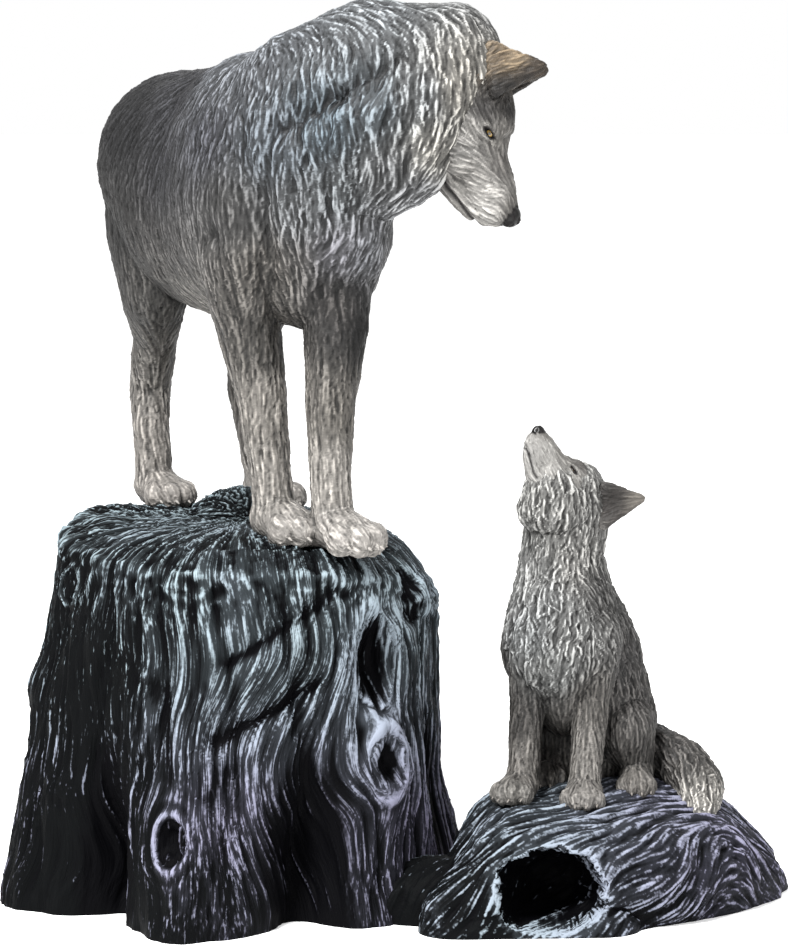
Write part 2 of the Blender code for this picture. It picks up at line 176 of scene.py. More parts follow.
class Clay:
    """Balls and tapered lengths of clay, which are fused to one skin."""

    def __init__(self) -> None:
        """Starts with no clay."""
        self.lump = bmesh.new()

    def ball(self, centre: Triple, radii: Triple, place: Matrix, into: Any = None) -> None:
        """Adds one ellipsoid."""
        shape = place @ Matrix.Translation(centre) @ Matrix.Diagonal((*radii, 1))
        target = into or self.lump
        bmesh.ops.create_icosphere(target, subdivisions=BALL_DETAIL, radius=1, matrix=shape)

    def wrapped(self, balls: Sequence[Ball], place: Matrix) -> None:
        """Adds the convex hull of some balls, as if clay was stretched over them."""
        piece = bmesh.new()
        for centre, radii in balls:
            self.ball(centre, radii, place, piece)
        hull = bmesh.ops.convex_hull(piece, input=piece.verts[:])
        bmesh.ops.delete(piece, geom=hull["geom_interior"], context="VERTS")
        skin = set(hull["geom"])
        bmesh.ops.delete(piece, geom=[f for f in piece.faces if f not in skin], context="FACES")
        copy = bpy.data.meshes.new("wrapped")
        piece.to_mesh(copy)
        piece.free()
        self.lump.from_mesh(copy)
        bpy.data.meshes.remove(copy)

    def limb(self, stations: Sequence[Ball], place: Matrix) -> None:
        """Adds a tapered length of clay from each ball to the next."""
        for pair in zip(stations, stations[1:]):
            self.wrapped(pair, place)

    def paw(self, size: Triple, foot: Matrix) -> None:
        """Adds a paw with four toes.

        Args:
            size: The length, width and height of the paw.
            foot: The paw's frame, with x towards its toes.
        """
        length, width, height = size
        half = width / 2
        self.wrapped(
            [
                ((0, 0, height * 0.55), (half * 0.8, half * 0.82, height * 0.55)),
                ((length * 0.4, 0, height * 0.42), (half * 0.8, half * 0.9, height * 0.44)),
            ],
            foot,
        )
        for side, reach in TOES:
            toe = (length * reach, side * half * 1.08, height * 0.34)
            self.ball(toe, (length * 0.22, half * 0.34, height * 0.37), foot)

    def ear(self, points: Sequence[Triple], thickness: float, place: Matrix) -> None:
        """Adds an ear as two leaves that meet along its spine, with a hollow in front of them.

        Args:
            points: The outer edge, the spine, the inner edge and the tip of the ear.
            thickness: Half the thickness of the spine.
            place: The head's frame.
        """
        outer, spine, inner, tip = points
        thick = (thickness,) * 3
        fine = (thickness * 0.7,) * 3
        for edge in (outer, inner):
            self.wrapped([(edge, fine), (spine, thick), (tip, fine)], place)

    def head(self, place: Matrix) -> None:
        """Adds a wolf's head without its ears, 31 from the skull's centre to the nose."""
        self.wrapped([((-10, 0, -2), (11, 12, 10)), ((-1, 0, -2), (10, 12, 10.4))], place)
        for side in Side:
            y = side.value
            self.wrapped([((-3, y * 5.5, -8), (9, 6.5, 9)), ((9, y * 4, -8.5), (6.5, 4.4, 7.5))], place)
            self.ball((2.2, y * 5.2, 3.6), (4.6, 3.4, 4), place)
        self.limb(
            [
                ((4, 0, -1.5), (8, 8, 7.5)),
                ((11, 0, -4), (6, 6.4, 7.8)),
                ((21, 0, -2.8), (5, 5.4, 7.4)),
                ((27.6, 0, -1.8), (3.6, 4.8, 6)),
            ],
            place,
        )
        self.ball((29.8, 0, 1.8), (2.4, 3, 2.7), place)
        jaw = [((2, 0, -15), (8, 6.5, 6)), ((14, 0, -13.6), (5.5, 5, 4.6)), ((26, 0, -8.4), (3, 3.4, 2.4))]
        self.limb(jaw, place)

    def fused(self, name: str, voxel: float, passes: int) -> "Skin":
        """Fuses the clay to one skin.

        Args:
            name: The name of the piece.
            voxel: The size of the skin's faces.
            passes: How often the skin is smoothed.

        Returns:
            The skin, ready to be carved.
        """
        mesh = bpy.data.meshes.new(name)
        self.lump.to_mesh(mesh)
        self.lump.free()
        piece = linked(name, mesh)
        fuse = piece.modifiers.new("fuse", "REMESH")
        fuse.mode = "VOXEL"
        fuse.voxel_size = voxel
        fuse.adaptivity = 0
        soften = piece.modifiers.new("soften", "SMOOTH")
        soften.factor = 0.5
        soften.iterations = passes
        graph = bpy.context.evaluated_depsgraph_get()
        skin = bpy.data.meshes.new_from_object(piece.evaluated_get(graph))
        piece.modifiers.clear()
        piece.data = skin
        bpy.data.meshes.remove(mesh)
        skin.name = name
        return Skin(piece)


class Skin:
    """The fine skin of one piece, held as arrays while it is carved."""

    def __init__(self, piece: bpy.types.Object) -> None:
        """Reads the skin's points and edges.

        Args:
            piece: The object that holds the skin.
        """
        self.piece = piece
        mesh = piece.data
        self.count = len(mesh.vertices)
        flat = np.empty(self.count * 3, np.float32)
        mesh.vertices.foreach_get("co", flat)
        self.points = flat.reshape(-1, 3).astype(float)
        ends = np.empty(len(mesh.edges) * 2, np.int32)
        mesh.edges.foreach_get("vertices", ends)
        self.ends = ends.reshape(-1, 2)
        self.degree = np.maximum(np.bincount(ends, minlength=self.count), 1).astype(float)
        self.renew()

    def renew(self) -> None:
        """Writes the points back and reads which way each one faces."""
        mesh = self.piece.data
        mesh.vertices.foreach_set("co", self.points.astype(np.float32).ravel())
        mesh.update()
        flat = np.empty(self.count * 3, np.float32)
        mesh.vertex_normals.foreach_get("vector", flat)
        self.facing = flat.reshape(-1, 3).astype(float)

    def gathered(self, values: np.ndarray) -> np.ndarray:
        """The sum of each point's neighbours."""
        a, b = self.ends.T
        n = self.count
        return np.bincount(a, values[b], n) + np.bincount(b, values[a], n)

    def blurred(self, values: np.ndarray, passes: int) -> np.ndarray:
        """Spreads values over the skin.

        Args:
            values: One value, or one row of values, for each point.
            passes: How often each point is mixed with its neighbours.

        Returns:
            The spread values.
        """
        rows = values.reshape(self.count, -1).astype(float)
        for _ in range(passes):
            mean = np.stack([self.gathered(column) for column in rows.T], axis=1)
            rows = 0.5 * rows + 0.5 * mean / self.degree[:, None]
        return rows.reshape(values.shape)

    def push(self, amount: np.ndarray) -> None:
        """Moves each point outwards."""
        self.points += self.facing * np.asarray(amount)[:, None]
        self.renew()

    def relief(self, passes: int) -> np.ndarray:
        """How far each point stands over the skin around it."""
        return ((self.points - self.blurred(self.points, passes)) * self.facing).sum(axis=1)

    def levelled(self, passes: int) -> np.ndarray:
        """The relief, made as strong where the skin is nearly smooth as where it is rough."""
        relief = self.relief(passes)
        rough = self.blurred(np.abs(relief), 50)
        return np.clip(relief / (2.6 * rough + 0.25 * rough.mean()), -1.5, 1.5)

    def tangent(self, ways: np.ndarray) -> np.ndarray:
        """Lays directions flat on the skin, one long each."""
        return unit(ways - self.facing * (ways * self.facing).sum(axis=1, keepdims=True))

    def measured(self, ways: np.ndarray) -> np.ndarray:
        """A measure over the skin that grows by a millimetre for each millimetre along ways.

        Args:
            ways: The direction at each point.

        Returns:
            The measure at each point.
        """
        a, b = self.ends.T
        n = self.count
        rise = ((self.points[b] - self.points[a]) * (ways[a] + ways[b])).sum(axis=1) / 2
        wanted = np.bincount(b, rise, n) - np.bincount(a, rise, n)
        found = np.zeros(n)
        left = wanted.copy()
        scaled = left / self.degree
        way = scaled.copy()
        strength = left @ scaled
        for _ in range(500):
            moved = self.degree * way - self.gathered(way)
            step = strength / max(way @ moved, 1e-12)
            found += step * way
            left -= step * moved
            scaled = left / self.degree
            fresh = left @ scaled
            way = scaled + way * (fresh / max(strength, 1e-12))
            strength = fresh
        return found

    def streaked(self, lie: np.ndarray, fineness: float, reach: float, seed: int) -> np.ndarray:
        """Noise that is drawn out along the lie of the hair or the grain.

        Args:
            lie: The direction at each point.
            fineness: How many strands there are to a millimetre.
            reach: Half the length of a strand.
            seed: Picks the strands.

        Returns:
            One value for each point, mostly between minus one and one.
        """
        total = np.zeros(self.count)
        for share in np.linspace(-1, 1, 11):
            total += noise((self.points + lie * (share * reach)) * fineness, seed) * (1.2 - abs(share))
        return evened(total)

    def keep(self, **layers: np.ndarray) -> None:
        """Stores values on the skin for its paint.

        Args:
            layers: One number or three for each point, under the name that the paint reads.
        """
        for name, values in layers.items():
            kind, key = ("FLOAT", "value") if values.ndim == 1 else ("FLOAT_VECTOR", "vector")
            layer = self.piece.data.attributes.new(name, kind, "POINT")
            layer.data.foreach_set(key, values.astype(np.float32).ravel())

    def finished(self, paint: bpy.types.Material, flat_foot: bool = False) -> bpy.types.Object:
        """Scales the skin to metres, moves it to its place on the table and paints it.

        Args:
            paint: The material.
            flat_foot: Whether the skin is cut off level with the table.

        Returns:
            The finished piece.
        """
        mesh = self.piece.data
        bm = bmesh.new()
        bm.from_mesh(mesh)
        if flat_foot:
            everything = bm.verts[:] + bm.edges[:] + bm.faces[:]
            bmesh.ops.bisect_plane(
                bm, geom=everything, dist=0.001, plane_co=(0, 0, 0), plane_no=(0, 0, -1), clear_outer=True
            )
            bmesh.ops.holes_fill(bm, edges=[e for e in bm.edges if e.is_boundary], sides=0)
        set_down(bm)
        bm.to_mesh(mesh)
        bm.free()
        return dressed(self.piece, paint)


def dressed(piece: bpy.types.Object, paint: bpy.types.Material) -> bpy.types.Object:
    """Paints a piece and lets it stand for the casting."""
    piece.data.materials.clear()
    piece.data.materials.append(paint)
    piece.data.shade_smooth()
    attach(piece, "root")
    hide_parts("wolf_figurine")
    log.info("%s: %d faces", piece.name, len(piece.data.polygons))
    return piece


class Wire:
    """A socket that is reckoned with as a number."""

    def __init__(self, shop: "PaintShop", socket: Any) -> None:
        """Holds a socket of one material's nodes."""
        self.shop = shop
        self.socket = socket

    def reckon(self, operation: str, *others: Any, clamp: bool = False) -> "Wire":
        """Adds a Math node whose first input is this wire."""
        settings = {"operation": operation, "use_clamp": clamp}
        return self.shop.node("ShaderNodeMath", settings, dict(enumerate((self, *others))))

    def __add__(self, other: Any) -> "Wire":
        """Adds."""
        return self.reckon("ADD", other)

    def __mul__(self, other: Any) -> "Wire":
        """Multiplies."""
        return self.reckon("MULTIPLY", other)

    def __sub__(self, other: Any) -> "Wire":
        """Subtracts."""
        return self.reckon("SUBTRACT", other)

    def __rsub__(self, other: Any) -> "Wire":
        """Subtracts this from a number."""
        return self.shop.node("ShaderNodeMath", {"operation": "SUBTRACT"}, {0: other, 1: self})

    def held(self) -> "Wire":
        """Keeps the number between nought and one."""
        return self.reckon("ADD", 0.0, clamp=True)


class PaintShop:
    """Mixes one material out of nodes."""

    def __init__(self, name: str) -> None:
        """Starts a material with its shader."""
        self.material = bpy.data.materials.new(name)
        self.material.use_nodes = True
        self.tree = self.material.node_tree
        self.shader = self.tree.nodes["Principled BSDF"]

    def node(self, kind: str, settings: dict[str, Any], inputs: dict[Any, Any], out: Any = 0) -> Wire:
        """Adds a node.

        Args:
            kind: The node's type.
            settings: Its own properties, which are set first.
            inputs: The value or wire of each input.
            out: The output that the wire holds.

        Returns:
            The output's wire.
        """
        node = self.tree.nodes.new(kind)
        for key, value in settings.items():
            setattr(node, key, value)
        for key, value in inputs.items():
            self.feed(node.inputs[key], value)
        return Wire(self, node.outputs[out])

    def feed(self, socket: Any, value: Any) -> None:
        """Gives a socket a wire or a value."""
        if isinstance(value, Wire):
            self.tree.links.new(value.socket, socket)
        elif socket.type == "RGBA" and len(value) == 3:
            socket.default_value = (*value, 1)
        else:
            socket.default_value = value

    def stored(self, name: str, out: str = "Fac") -> Wire:
        """Reads what the carving stored on the skin."""
        return self.node("ShaderNodeAttribute", {"attribute_name": name}, {}, out)

    def where(self) -> Wire:
        """The place on the piece, in metres."""
        return self.node("ShaderNodeTexCoord", {}, {}, "Object")

    def mixed(self, share: Any, first: Any, second: Any) -> Wire:
        """Mixes two colours."""
        settings = {"data_type": "RGBA", "clamp_result": True}
        return self.node("ShaderNodeMix", settings, {0: share, 6: first, 7: second}, 2)

    def stronger(self, colour: Wire, factor: Any) -> Wire:
        """Makes a colour lighter or darker by a factor."""
        return self.node("ShaderNodeVectorMath", {"operation": "SCALE"}, {0: colour, "Scale": factor})

    def grains(self, vector: Wire, scale: float, detail: float) -> Wire:
        """Cloudy noise from nought to one."""
        inputs = {"Vector": vector, "Scale": scale, "Detail": detail, "Roughness": 0.55}
        return self.node("ShaderNodeTexNoise", {"noise_dimensions": "3D"}, inputs, "Fac")

    def strands(self, scale: float, reach: float) -> Wire:
        """Fine noise, drawn out along the lie that is stored on the skin.

        Args:
            scale: How many strands there are to a metre.
            reach: Half the length of a strand, in metres.

        Returns:
            The noise, from nought to one.
        """
        place = self.where()
        lie = self.stored("lie", "Vector")
        total = self.grains(place, scale, 0.0)
        steps = (-1.0, -0.75, -0.5, -0.25, 0.25, 0.5, 0.75, 1.0)
        for step in steps:
            inputs = {0: lie, 1: (step * reach,) * 3, 2: place}
            spot = self.node("ShaderNodeVectorMath", {"operation": "MULTIPLY_ADD"}, inputs)
            total = total + self.grains(spot, scale, 0.0)
        return total * (1 / (len(steps) + 1))

    def finish(self, colour: Any, roughness: Any, height: Wire | None, depth: float) -> bpy.types.Material:
        """Joins the paint to the shader.

        Args:
            colour: The base colour.
            roughness: The roughness.
            height: The fine relief, or nothing.
            depth: How deep the fine relief is, in metres.

        Returns:
            The material.
        """
        self.feed(self.shader.inputs["Base Color"], colour)
        self.feed(self.shader.inputs["Roughness"], roughness)
        if height is not None:
            bump = self.node("ShaderNodeBump", {}, {"Strength": 0.9, "Distance": depth, "Height": height})
            self.feed(self.shader.inputs["Normal"], bump)
        return self.material


@dataclass(frozen=True)
class FurPaint:
    """Paint on carved fur: a dark wash in the creases and a light dry brush on the hair.

    Attributes:
        name: The name of the material.
        wash: How strong the wash is.
        brush: How strong the dry brush is.
        roughness: How matt the paint is.
        hair: How many painted hairs there are to a metre.
    """

    name: str
    wash: float = 1.0
    brush: float = 1.0
    roughness: float = 0.6
    hair: float = 1000.0

    def mixed(self) -> bpy.types.Material:
        """Builds the material."""
        shop = PaintShop(self.name)
        base = shop.stored("paint", "Color")
        ridge, swell, dark, shag = (shop.stored(name) for name in ("ridge", "swell", "dark", "shag"))
        hair = shop.strands(self.hair, 3.0 / self.hair)
        patch = shop.grains(shop.where(), 55.0, 2.0)
        crease = (0.24 - ridge - swell * 0.3 - (hair - 0.5) * 6.5).held()
        proud = (ridge * 0.9 + swell * 0.15 + (hair - 0.5) * 8.0 + (patch - 0.5) * 0.8 - 0.24).held()
        washed = shop.mixed(crease * self.wash, base, shop.stronger(base, 0.22))
        brushed = shop.mixed(proud * self.brush, washed, shop.stronger(base, shag * 3.4 + 2.5))
        # Black on the lips, eye rims and nose skin, and painted shade in the mane's creases, from the stored
        # dark
        black_and_painted_shade = shop.mixed(dark, brushed, (0.006, 0.005, 0.005))
        shop.shader.inputs["Specular IOR Level"].default_value = 0.2
        return shop.finish(black_and_painted_shade, self.roughness, hair, 0.0016)


@dataclass(frozen=True)
class WoodPaint:
    """Paint on carved wood: charcoal, dry-brushed pale blue and lavender along the grain, with painted light
    and shade over its sides and painted shade in its holes.

    Attributes:
        name: The name of the material.
        ground: The charcoal.
        cool: The pale blue.
        violet: The lavender.
        roughness: How matt the paint is.
        drawn_out: Whether the fine lines follow the stored lie, as on the log, or the stored grain.
    """

    name: str
    ground: str = "060708"
    cool: str = "8a989e"
    violet: str = "7f7b92"
    roughness: float = 0.66
    drawn_out: bool = False

    def mixed(self) -> bpy.types.Material:
        """Builds the material."""
        shop = PaintShop(self.name)
        grain = shop.stored("grain", "Vector")
        layers = ("ridge", "swell", "glow", "tint", "dark")
        ridge, swell, glow, tint, dark = (shop.stored(name) for name in layers)
        place = shop.where()
        if self.drawn_out:
            line = shop.strands(1000.0, 0.0034) * 2.4 - 0.7
        else:
            line = shop.grains(grain, 2.2, 3.0)
        broad = shop.grains(grain, 0.26, 2.0)
        cloud = shop.grains(place, 26.0, 2.0)
        speck = shop.grains(place, 900.0, 3.0)
        fine = (line - 0.5) * 4.4 + (broad - 0.5) * 1.6 + (speck - 0.5) * 1.2
        # The stored painted light strengthens the dry brush on the lit side and weakens it on the shaded side
        light = (ridge * 0.75 + swell * 0.3 + fine + (cloud - 0.5) * 1.2 + glow - 0.5).held()
        hue = shop.mixed((tint + (cloud - 0.5) * 0.8).held(), linear(self.cool), linear(self.violet))
        # The charcoal is tinted a little, more where the painted light is
        haze = (swell * 0.5 + (cloud - 0.5) * 2.0 + (line - 0.5) * 1.5 + glow * 2.0 + 0.3).held()
        ground = shop.mixed(haze * 0.1, linear(self.ground), hue)
        body = shop.mixed(light * 0.95, ground, hue)
        # Painted shade: near black in the holes, the recesses and the log's hollow
        deep = (dark * 1.3 - swell * 0.55 - ridge * 0.45).held()
        colour = shop.mixed(deep, body, (0.001, 0.001, 0.0015))
        shop.shader.inputs["Specular IOR Level"].default_value = 0.04
        return shop.finish(colour, self.roughness, line, 0.0005)


@dataclass(frozen=True)
class PlainPaint:
    """One colour with a little mottling, for noses, claws and eyes."""

    name: str
    code: str
    roughness: float

    def mixed(self) -> bpy.types.Material:
        """Builds the material."""
        shop = PaintShop(self.name)
        mottle = shop.grains(shop.where(), 900.0, 3.0)
        base = linear(self.code)
        dark = tuple(share * 0.45 for share in base)
        colour = shop.mixed((mottle - 0.45).held(), base, dark)
        shop.shader.inputs["Specular IOR Level"].default_value = 0.25
        return shop.finish(colour, self.roughness, mottle, 0.00012)


@dataclass(frozen=True)
class Tuft:
    """How the coat is at one place: the way the hair lies, how shaggy it is and its colour."""

    place: Triple
    lie: Triple
    shag: float
    paint: str


@dataclass(frozen=True)
class Coat:
    """A coat that changes smoothly from tuft to tuft."""

    tufts: tuple[Tuft, ...]

    def spread(self, points: np.ndarray) -> tuple[np.ndarray, np.ndarray, np.ndarray]:
        """Mixes the tufts near each point.

        Args:
            points: Where to read the coat.

        Returns:
            The lie of the hair, its shagginess and its colour at each point.
        """
        lie = np.zeros((len(points), 3))
        shag = np.zeros(len(points))
        paint = np.zeros((len(points), 3))
        total = np.zeros(len(points))
        for tuft in self.tufts:
            gap = ((points - np.array(tuft.place)) ** 2).sum(axis=1)
            share = 1 / (gap + 6.0) ** 2
            lie += share[:, None] * np.array(tuft.lie)
            shag += share * tuft.shag
            paint += share[:, None] * np.array(linear(tuft.paint)) * UNDER_LIGHT
            total += share
        return unit(lie), shag / total, paint / total[:, None]


@dataclass(frozen=True)
class Locks:
    """One size of fur lock.

    Attributes:
        spacing: The distance between locks.
        length: The length of a lock.
        width: Half its width.
        height: How far it stands out.
        wave: How far it snakes to either side.
        strands: How many strands it is parted into.
        stray: How far locks turn from the lie of the hair, in degrees.
        seed: Picks where the locks fall.
    """

    spacing: float
    length: float
    width: float
    height: float
    wave: float
    strands: float
    stray: float
    seed: int

    def pressed(self, skin: Skin, lie: np.ndarray, weight: np.ndarray) -> np.ndarray:
        """Presses the locks over a skin.

        Args:
            skin: The skin.
            lie: The way the hair lies at each point, flat on the skin.
            weight: From nought to one, how much of the lock each point takes.

        Returns:
            How high the locks stand at each point.
        """
        random = np.random.default_rng(self.seed)
        order = random.permutation(skin.count)
        cells = np.floor(skin.points[order] / self.spacing).astype(np.int64)
        keys = (cells[:, 0] * 4096 + cells[:, 1]) * 4096 + cells[:, 2]
        starts = order[np.unique(keys, return_index=True)[1]]
        starts = starts[weight[starts] > 0.04]
        random.shuffle(starts)
        tree = kdtree.KDTree(skin.count)
        for i, point in enumerate(skin.points):
            tree.insert(point, i)
        tree.balance()
        height = np.zeros(skin.count)
        turns = np.radians(random.normal(0, self.stray, len(starts)))
        sizes = random.uniform(0.75, 1.25, (len(starts), 3))
        phases = random.uniform(0, 2 * math.pi, (len(starts), 2))
        for i, turn, size, phase in zip(starts, turns, sizes, phases):
            middle = skin.points[i]
            face = skin.facing[i]
            across = np.cross(face, lie[i])
            along = lie[i] * math.cos(turn) + across * math.sin(turn)
            across = np.cross(face, along)
            length = self.length * size[0]
            found = tree.find_range(middle, length * 0.55)
            near = np.fromiter((hit[1] for hit in found), np.int64, len(found))
            away = skin.points[near] - middle
            u = away @ along / length + 0.5
            inside = (u > 0.001) & (u < 0.999)
            near = near[inside]
            away = away[inside]
            u = u[inside]
            v = away @ across - self.wave * size[1] * np.sin(u * 5.2 + phase[0]) * np.sin(math.pi * u)
            half = self.width * size[2] * (np.sin(math.pi * u**0.72) ** 0.7 * 0.85 + 0.15)
            x = v / half
            crown = np.clip(1 - x * x, 0, None) ** 0.75
            body = crown * np.sin(math.pi * u**1.25) ** 0.55
            part = 1 + 0.22 * np.cos(x * math.pi * self.strands + phase[1])
            stood = self.height * weight[i] * size[1] * body * part
            stood[np.abs(away @ face) > length * 0.35] = 0
            height[near] = np.maximum(height[near], stood)
        return height


def carved_coat(
    skin: Skin,
    coat: Coat,
    layers: Sequence[tuple[Locks, float, float]],
    bare: np.ndarray,
    fineness: float,
) -> None:
    """Carves the fur and stores what its paint reads.

    Args:
        skin: The skin.
        coat: The coat.
        layers: Each size of lock, with the shagginess where it starts and where it is full.
        bare: One where no fur shows, such as on the lips.
        fineness: How many strands there are to a millimetre.
    """
    lie, shag, paint = coat.spread(skin.points)
    lie = skin.tangent(skin.blurred(skin.tangent(lie), 6))
    side = np.cross(skin.facing, lie)
    waved = unit(lie + side * noise(skin.points * 0.17, 6)[:, None] * 0.7 * np.clip(shag, 0.3, 1)[:, None])
    height = np.zeros(skin.count)
    for locks, low, high in layers:
        weight = smooth(shag, low, high) if high > low else 1 - smooth(shag, high, low)
        height = np.maximum(height, locks.pressed(skin, lie, weight * (1 - bare)))
    broad = skin.streaked(waved, fineness * 0.5, 4.5 / fineness, 7)
    fine = skin.streaked(waved, fineness, 3.2 / fineness, 8)
    skin.push(height + (broad * 0.45 * (0.15 + shag) + fine * 0.22) * (1 - bare))
    ridge = skin.levelled(3) * (0.3 + 0.7 * smooth(shag, 0, 0.14))
    skin.keep(lie=waved, shag=shag, paint=paint, ridge=ridge, swell=evened(skin.relief(30)))


def turned_ball(bm: bmesh.types.BMesh, place: Matrix, radii: Triple, segments: int) -> None:
    """Adds a smooth ball for an eye or a nose."""
    shape = place @ Matrix.Diagonal((*radii, 1))
    bmesh.ops.create_uvsphere(bm, u_segments=segments, v_segments=segments // 2, radius=1, matrix=shape)


def small_piece(name: str, bm: bmesh.types.BMesh, paint: bpy.types.Material) -> bpy.types.Object:
    """Turns a bmesh in millimetres into a finished piece."""
    bmesh.ops.recalc_face_normals(bm, faces=bm.faces[:])
    set_down(bm)
    mesh = bpy.data.meshes.new(name)
    bm.to_mesh(mesh)
    bm.free()
    return dressed(linked(name, mesh), paint)


@dataclass
class WolfHead:
    """A wolf's head. Its face is set in the head's own frame, with x along the muzzle.

    Attributes:
        name: The name of the piece.
        place: The head's frame.
        scale: Its size beside the grown wolf's.
        ears: The outer edge, the spine, the inner edge and the tip of the left ear.
        ear_thickness: Half the thickness of an ear's spine.
        voxel: The size of the skin's faces.
        coat: The tufts of its left side.
        iris: The colour of its eyes.
    """

    name: str
    place: Matrix
    scale: float
    ears: tuple[Triple, ...]
    ear_thickness: float
    voxel: float
    coat: tuple[TuftRow, ...]
    iris: str

    # The line of the mouth, seen from the side
    MOUTH = ((30.2, -7.6), (27.4, -9.4), (21.9, -12.2), (17.6, -14.6), (14.6, -15.2))
    EYE = (5.2, 7.0, 0.4)
    EYE_RADIUS = 1.9
    # How far the middle of each eyeball is sunk behind the lids
    EYE_DEPTH = 1.2
    NOSE = (29.0, 0, 1.4)
    NOSE_RADII = (3.5, 3.3, 3.4)
    NOSTRIL = (31.8, 1.9, 1.0)
    # The middle of the black skin round the nose
    PAD = (29.6, 0, 1.9)

    def __post_init__(self) -> None:
        """Works out the frame in which the face is carved."""
        self.face = self.place @ Matrix.Scale(self.scale, 4)

    def local(self, skin: Skin) -> np.ndarray:
        """The skin's points in the head's frame."""
        back = np.array(self.face.inverted())
        return skin.points @ back[:3, :3].T + back[:3, 3]

    def mouth_gap(self, at: np.ndarray) -> np.ndarray:
        """How far each point is from the line of the mouth, seen from the side."""
        spot = at[:, (0, 2)]
        gap = np.full(len(at), 99.0)
        for start, end in zip(self.MOUTH, self.MOUTH[1:]):
            gap = np.minimum(gap, line_gap(spot, start, end))
        return gap

    def eye_gap(self, at: np.ndarray) -> np.ndarray:
        """How far each point is from the middle of the eye, one on the almond of its lids."""
        x, _, z = self.EYE
        along = (at[:, 0] - x) * 0.9 + (at[:, 2] - z) * 0.43
        over = (at[:, 2] - z) * 0.9 - (at[:, 0] - x) * 0.43
        almond = np.sqrt((along / 1.75) ** 2 + (over / 0.85) ** 2)
        return np.where(np.abs(at[:, 1]) > 3, almond, 9.0)

    def build(self, fur: bpy.types.Material) -> None:
        """Makes the head, its eyes and its nose."""
        clay = Clay()
        clay.head(self.face)
        for side in Side:
            points = [(x, side.value * y, z) for x, y, z in self.ears]
            clay.ear(points, self.ear_thickness, self.face)
        passes = round(4 * (1.3 / self.voxel) ** 2)
        skin = clay.fused(self.name, self.voxel, min(passes, 26))
        at = self.local(skin)
        lids = self.eye_gap(at)
        lips = self.mouth_gap(at)
        size = self.scale
        socket = -1.5 * bell(np.clip(lids - 0.55, 0, None), 0.28) + 0.55 * bell(lids - 1.45, 0.3)
        brow = 0.5 * bell(lids - 2.1, 0.6) * (at[:, 2] > self.EYE[2])
        groove = -0.8 * bell(lips, 0.55) + 0.3 * bell(lips - 1.3, 0.8)
        skin.push(size * (socket + brow + groove))
        bare = np.maximum(bell(lips, 0.9), bell(np.clip(lids - 1.2, 0, None), 0.3))
        world = self.face.to_3x3().normalized()
        tufts = tuple(
            Tuft(
                tuple(self.face @ Vector((p[0], side.value * p[1], p[2]))),
                tuple(world @ Vector((d[0], side.value * d[1], d[2]))),
                shag,
                code,
            )
            for p, d, shag, code in self.coat
            for side in Side
        )
        width, height = 0.5 * size + 0.22, 0.3 * size + 0.08
        short = Locks(1.5 * size + 0.5, 4.4 * size + 1.0, width, height, 0.25, 1.0, 12, 11)
        tousled = Locks(2.4 * size + 0.4, 8.5 * size + 1, 0.9 * size + 0.2, 0.75 * size, 0.8, 1.6, 16, 12)
        layers = ((short, 0.6, 0.35), (tousled, 0.35, 0.7))
        carved_coat(skin, Coat(tufts), layers, bare, STRANDS / self.voxel)
        at = self.local(skin)
        lids = self.eye_gap(at)
        dark = np.maximum(bell(self.mouth_gap(at), 0.5), bell(np.clip(lids - 1.05, 0, None), 0.28))
        pad = np.linalg.norm(at - self.PAD, axis=1)
        dark = np.maximum(dark, 1 - smooth(pad, 3.5, 4.1))
        skin.keep(dark=np.clip(dark * 1.2, 0, 1))
        skin.finished(fur)
        self.eyes()
        self.nose()

    def eyes(self) -> bpy.types.Object:
        """Makes both eyeballs, with a dark pupil in a pale iris."""
        shop = PaintShop(self.name + "_iris")
        ring = shop.stored("ring")
        mottle = shop.grains(shop.where(), 2600.0, 2.0)
        iris = shop.mixed((mottle * 0.8).held(), linear(self.iris), (0.16, 0.09, 0.03))
        rim = shop.mixed(((ring - 0.62) * 9.0).held(), iris, (0.012, 0.01, 0.009))
        whole = shop.mixed(((0.3 - ring) * 12.0).held(), rim, (0.004, 0.004, 0.004))
        shop.shader.inputs["Coat Weight"].default_value = 0.6
        paint = shop.finish(whole, 0.18, None, 0)
        bm = bmesh.new()
        ring_of = bm.verts.layers.float.new("ring")
        back = self.face.inverted()
        x, y, z = self.EYE
        for side in Side:
            look = Vector((0.3, side.value, 0.02)).normalized()
            middle = Vector((x, side.value * y, z)) - look * self.EYE_DEPTH
            first = len(bm.verts)
            turned_ball(bm, self.face @ Matrix.Translation(middle), (self.EYE_RADIUS,) * 3, 40)
            bm.verts.ensure_lookup_table()
            for vert in bm.verts[first:]:
                spot = (back @ vert.co - middle).normalized()
                vert[ring_of] = spot.angle(look) / math.radians(52)
        return small_piece(self.name + "_eyes", bm, paint)

    def nose(self) -> bpy.types.Object:
        """Makes the nose pad, with a dent at each nostril."""
        bm = bmesh.new()
        turned_ball(bm, self.face @ Matrix.Translation(self.NOSE), self.NOSE_RADII, 48)
        back = self.face.inverted()
        x, y, z = self.NOSTRIL
        for vert in bm.verts:
            at = back @ vert.co
            for side in Side:
                gap = Vector((at.x - x, at.y - side.value * y, at.z - z)).length
                at.x -= 0.9 * math.exp(-((gap / 0.8) ** 2))
            at.x -= 0.3 * math.exp(-((at.y / 0.35) ** 2)) * (at.z < 1.5)
            vert.co = self.face @ at
        paint = PlainPaint(self.name + "_nose_black", "0a0908", 0.3).mixed()
        return small_piece(self.name + "_nose", bm, paint)


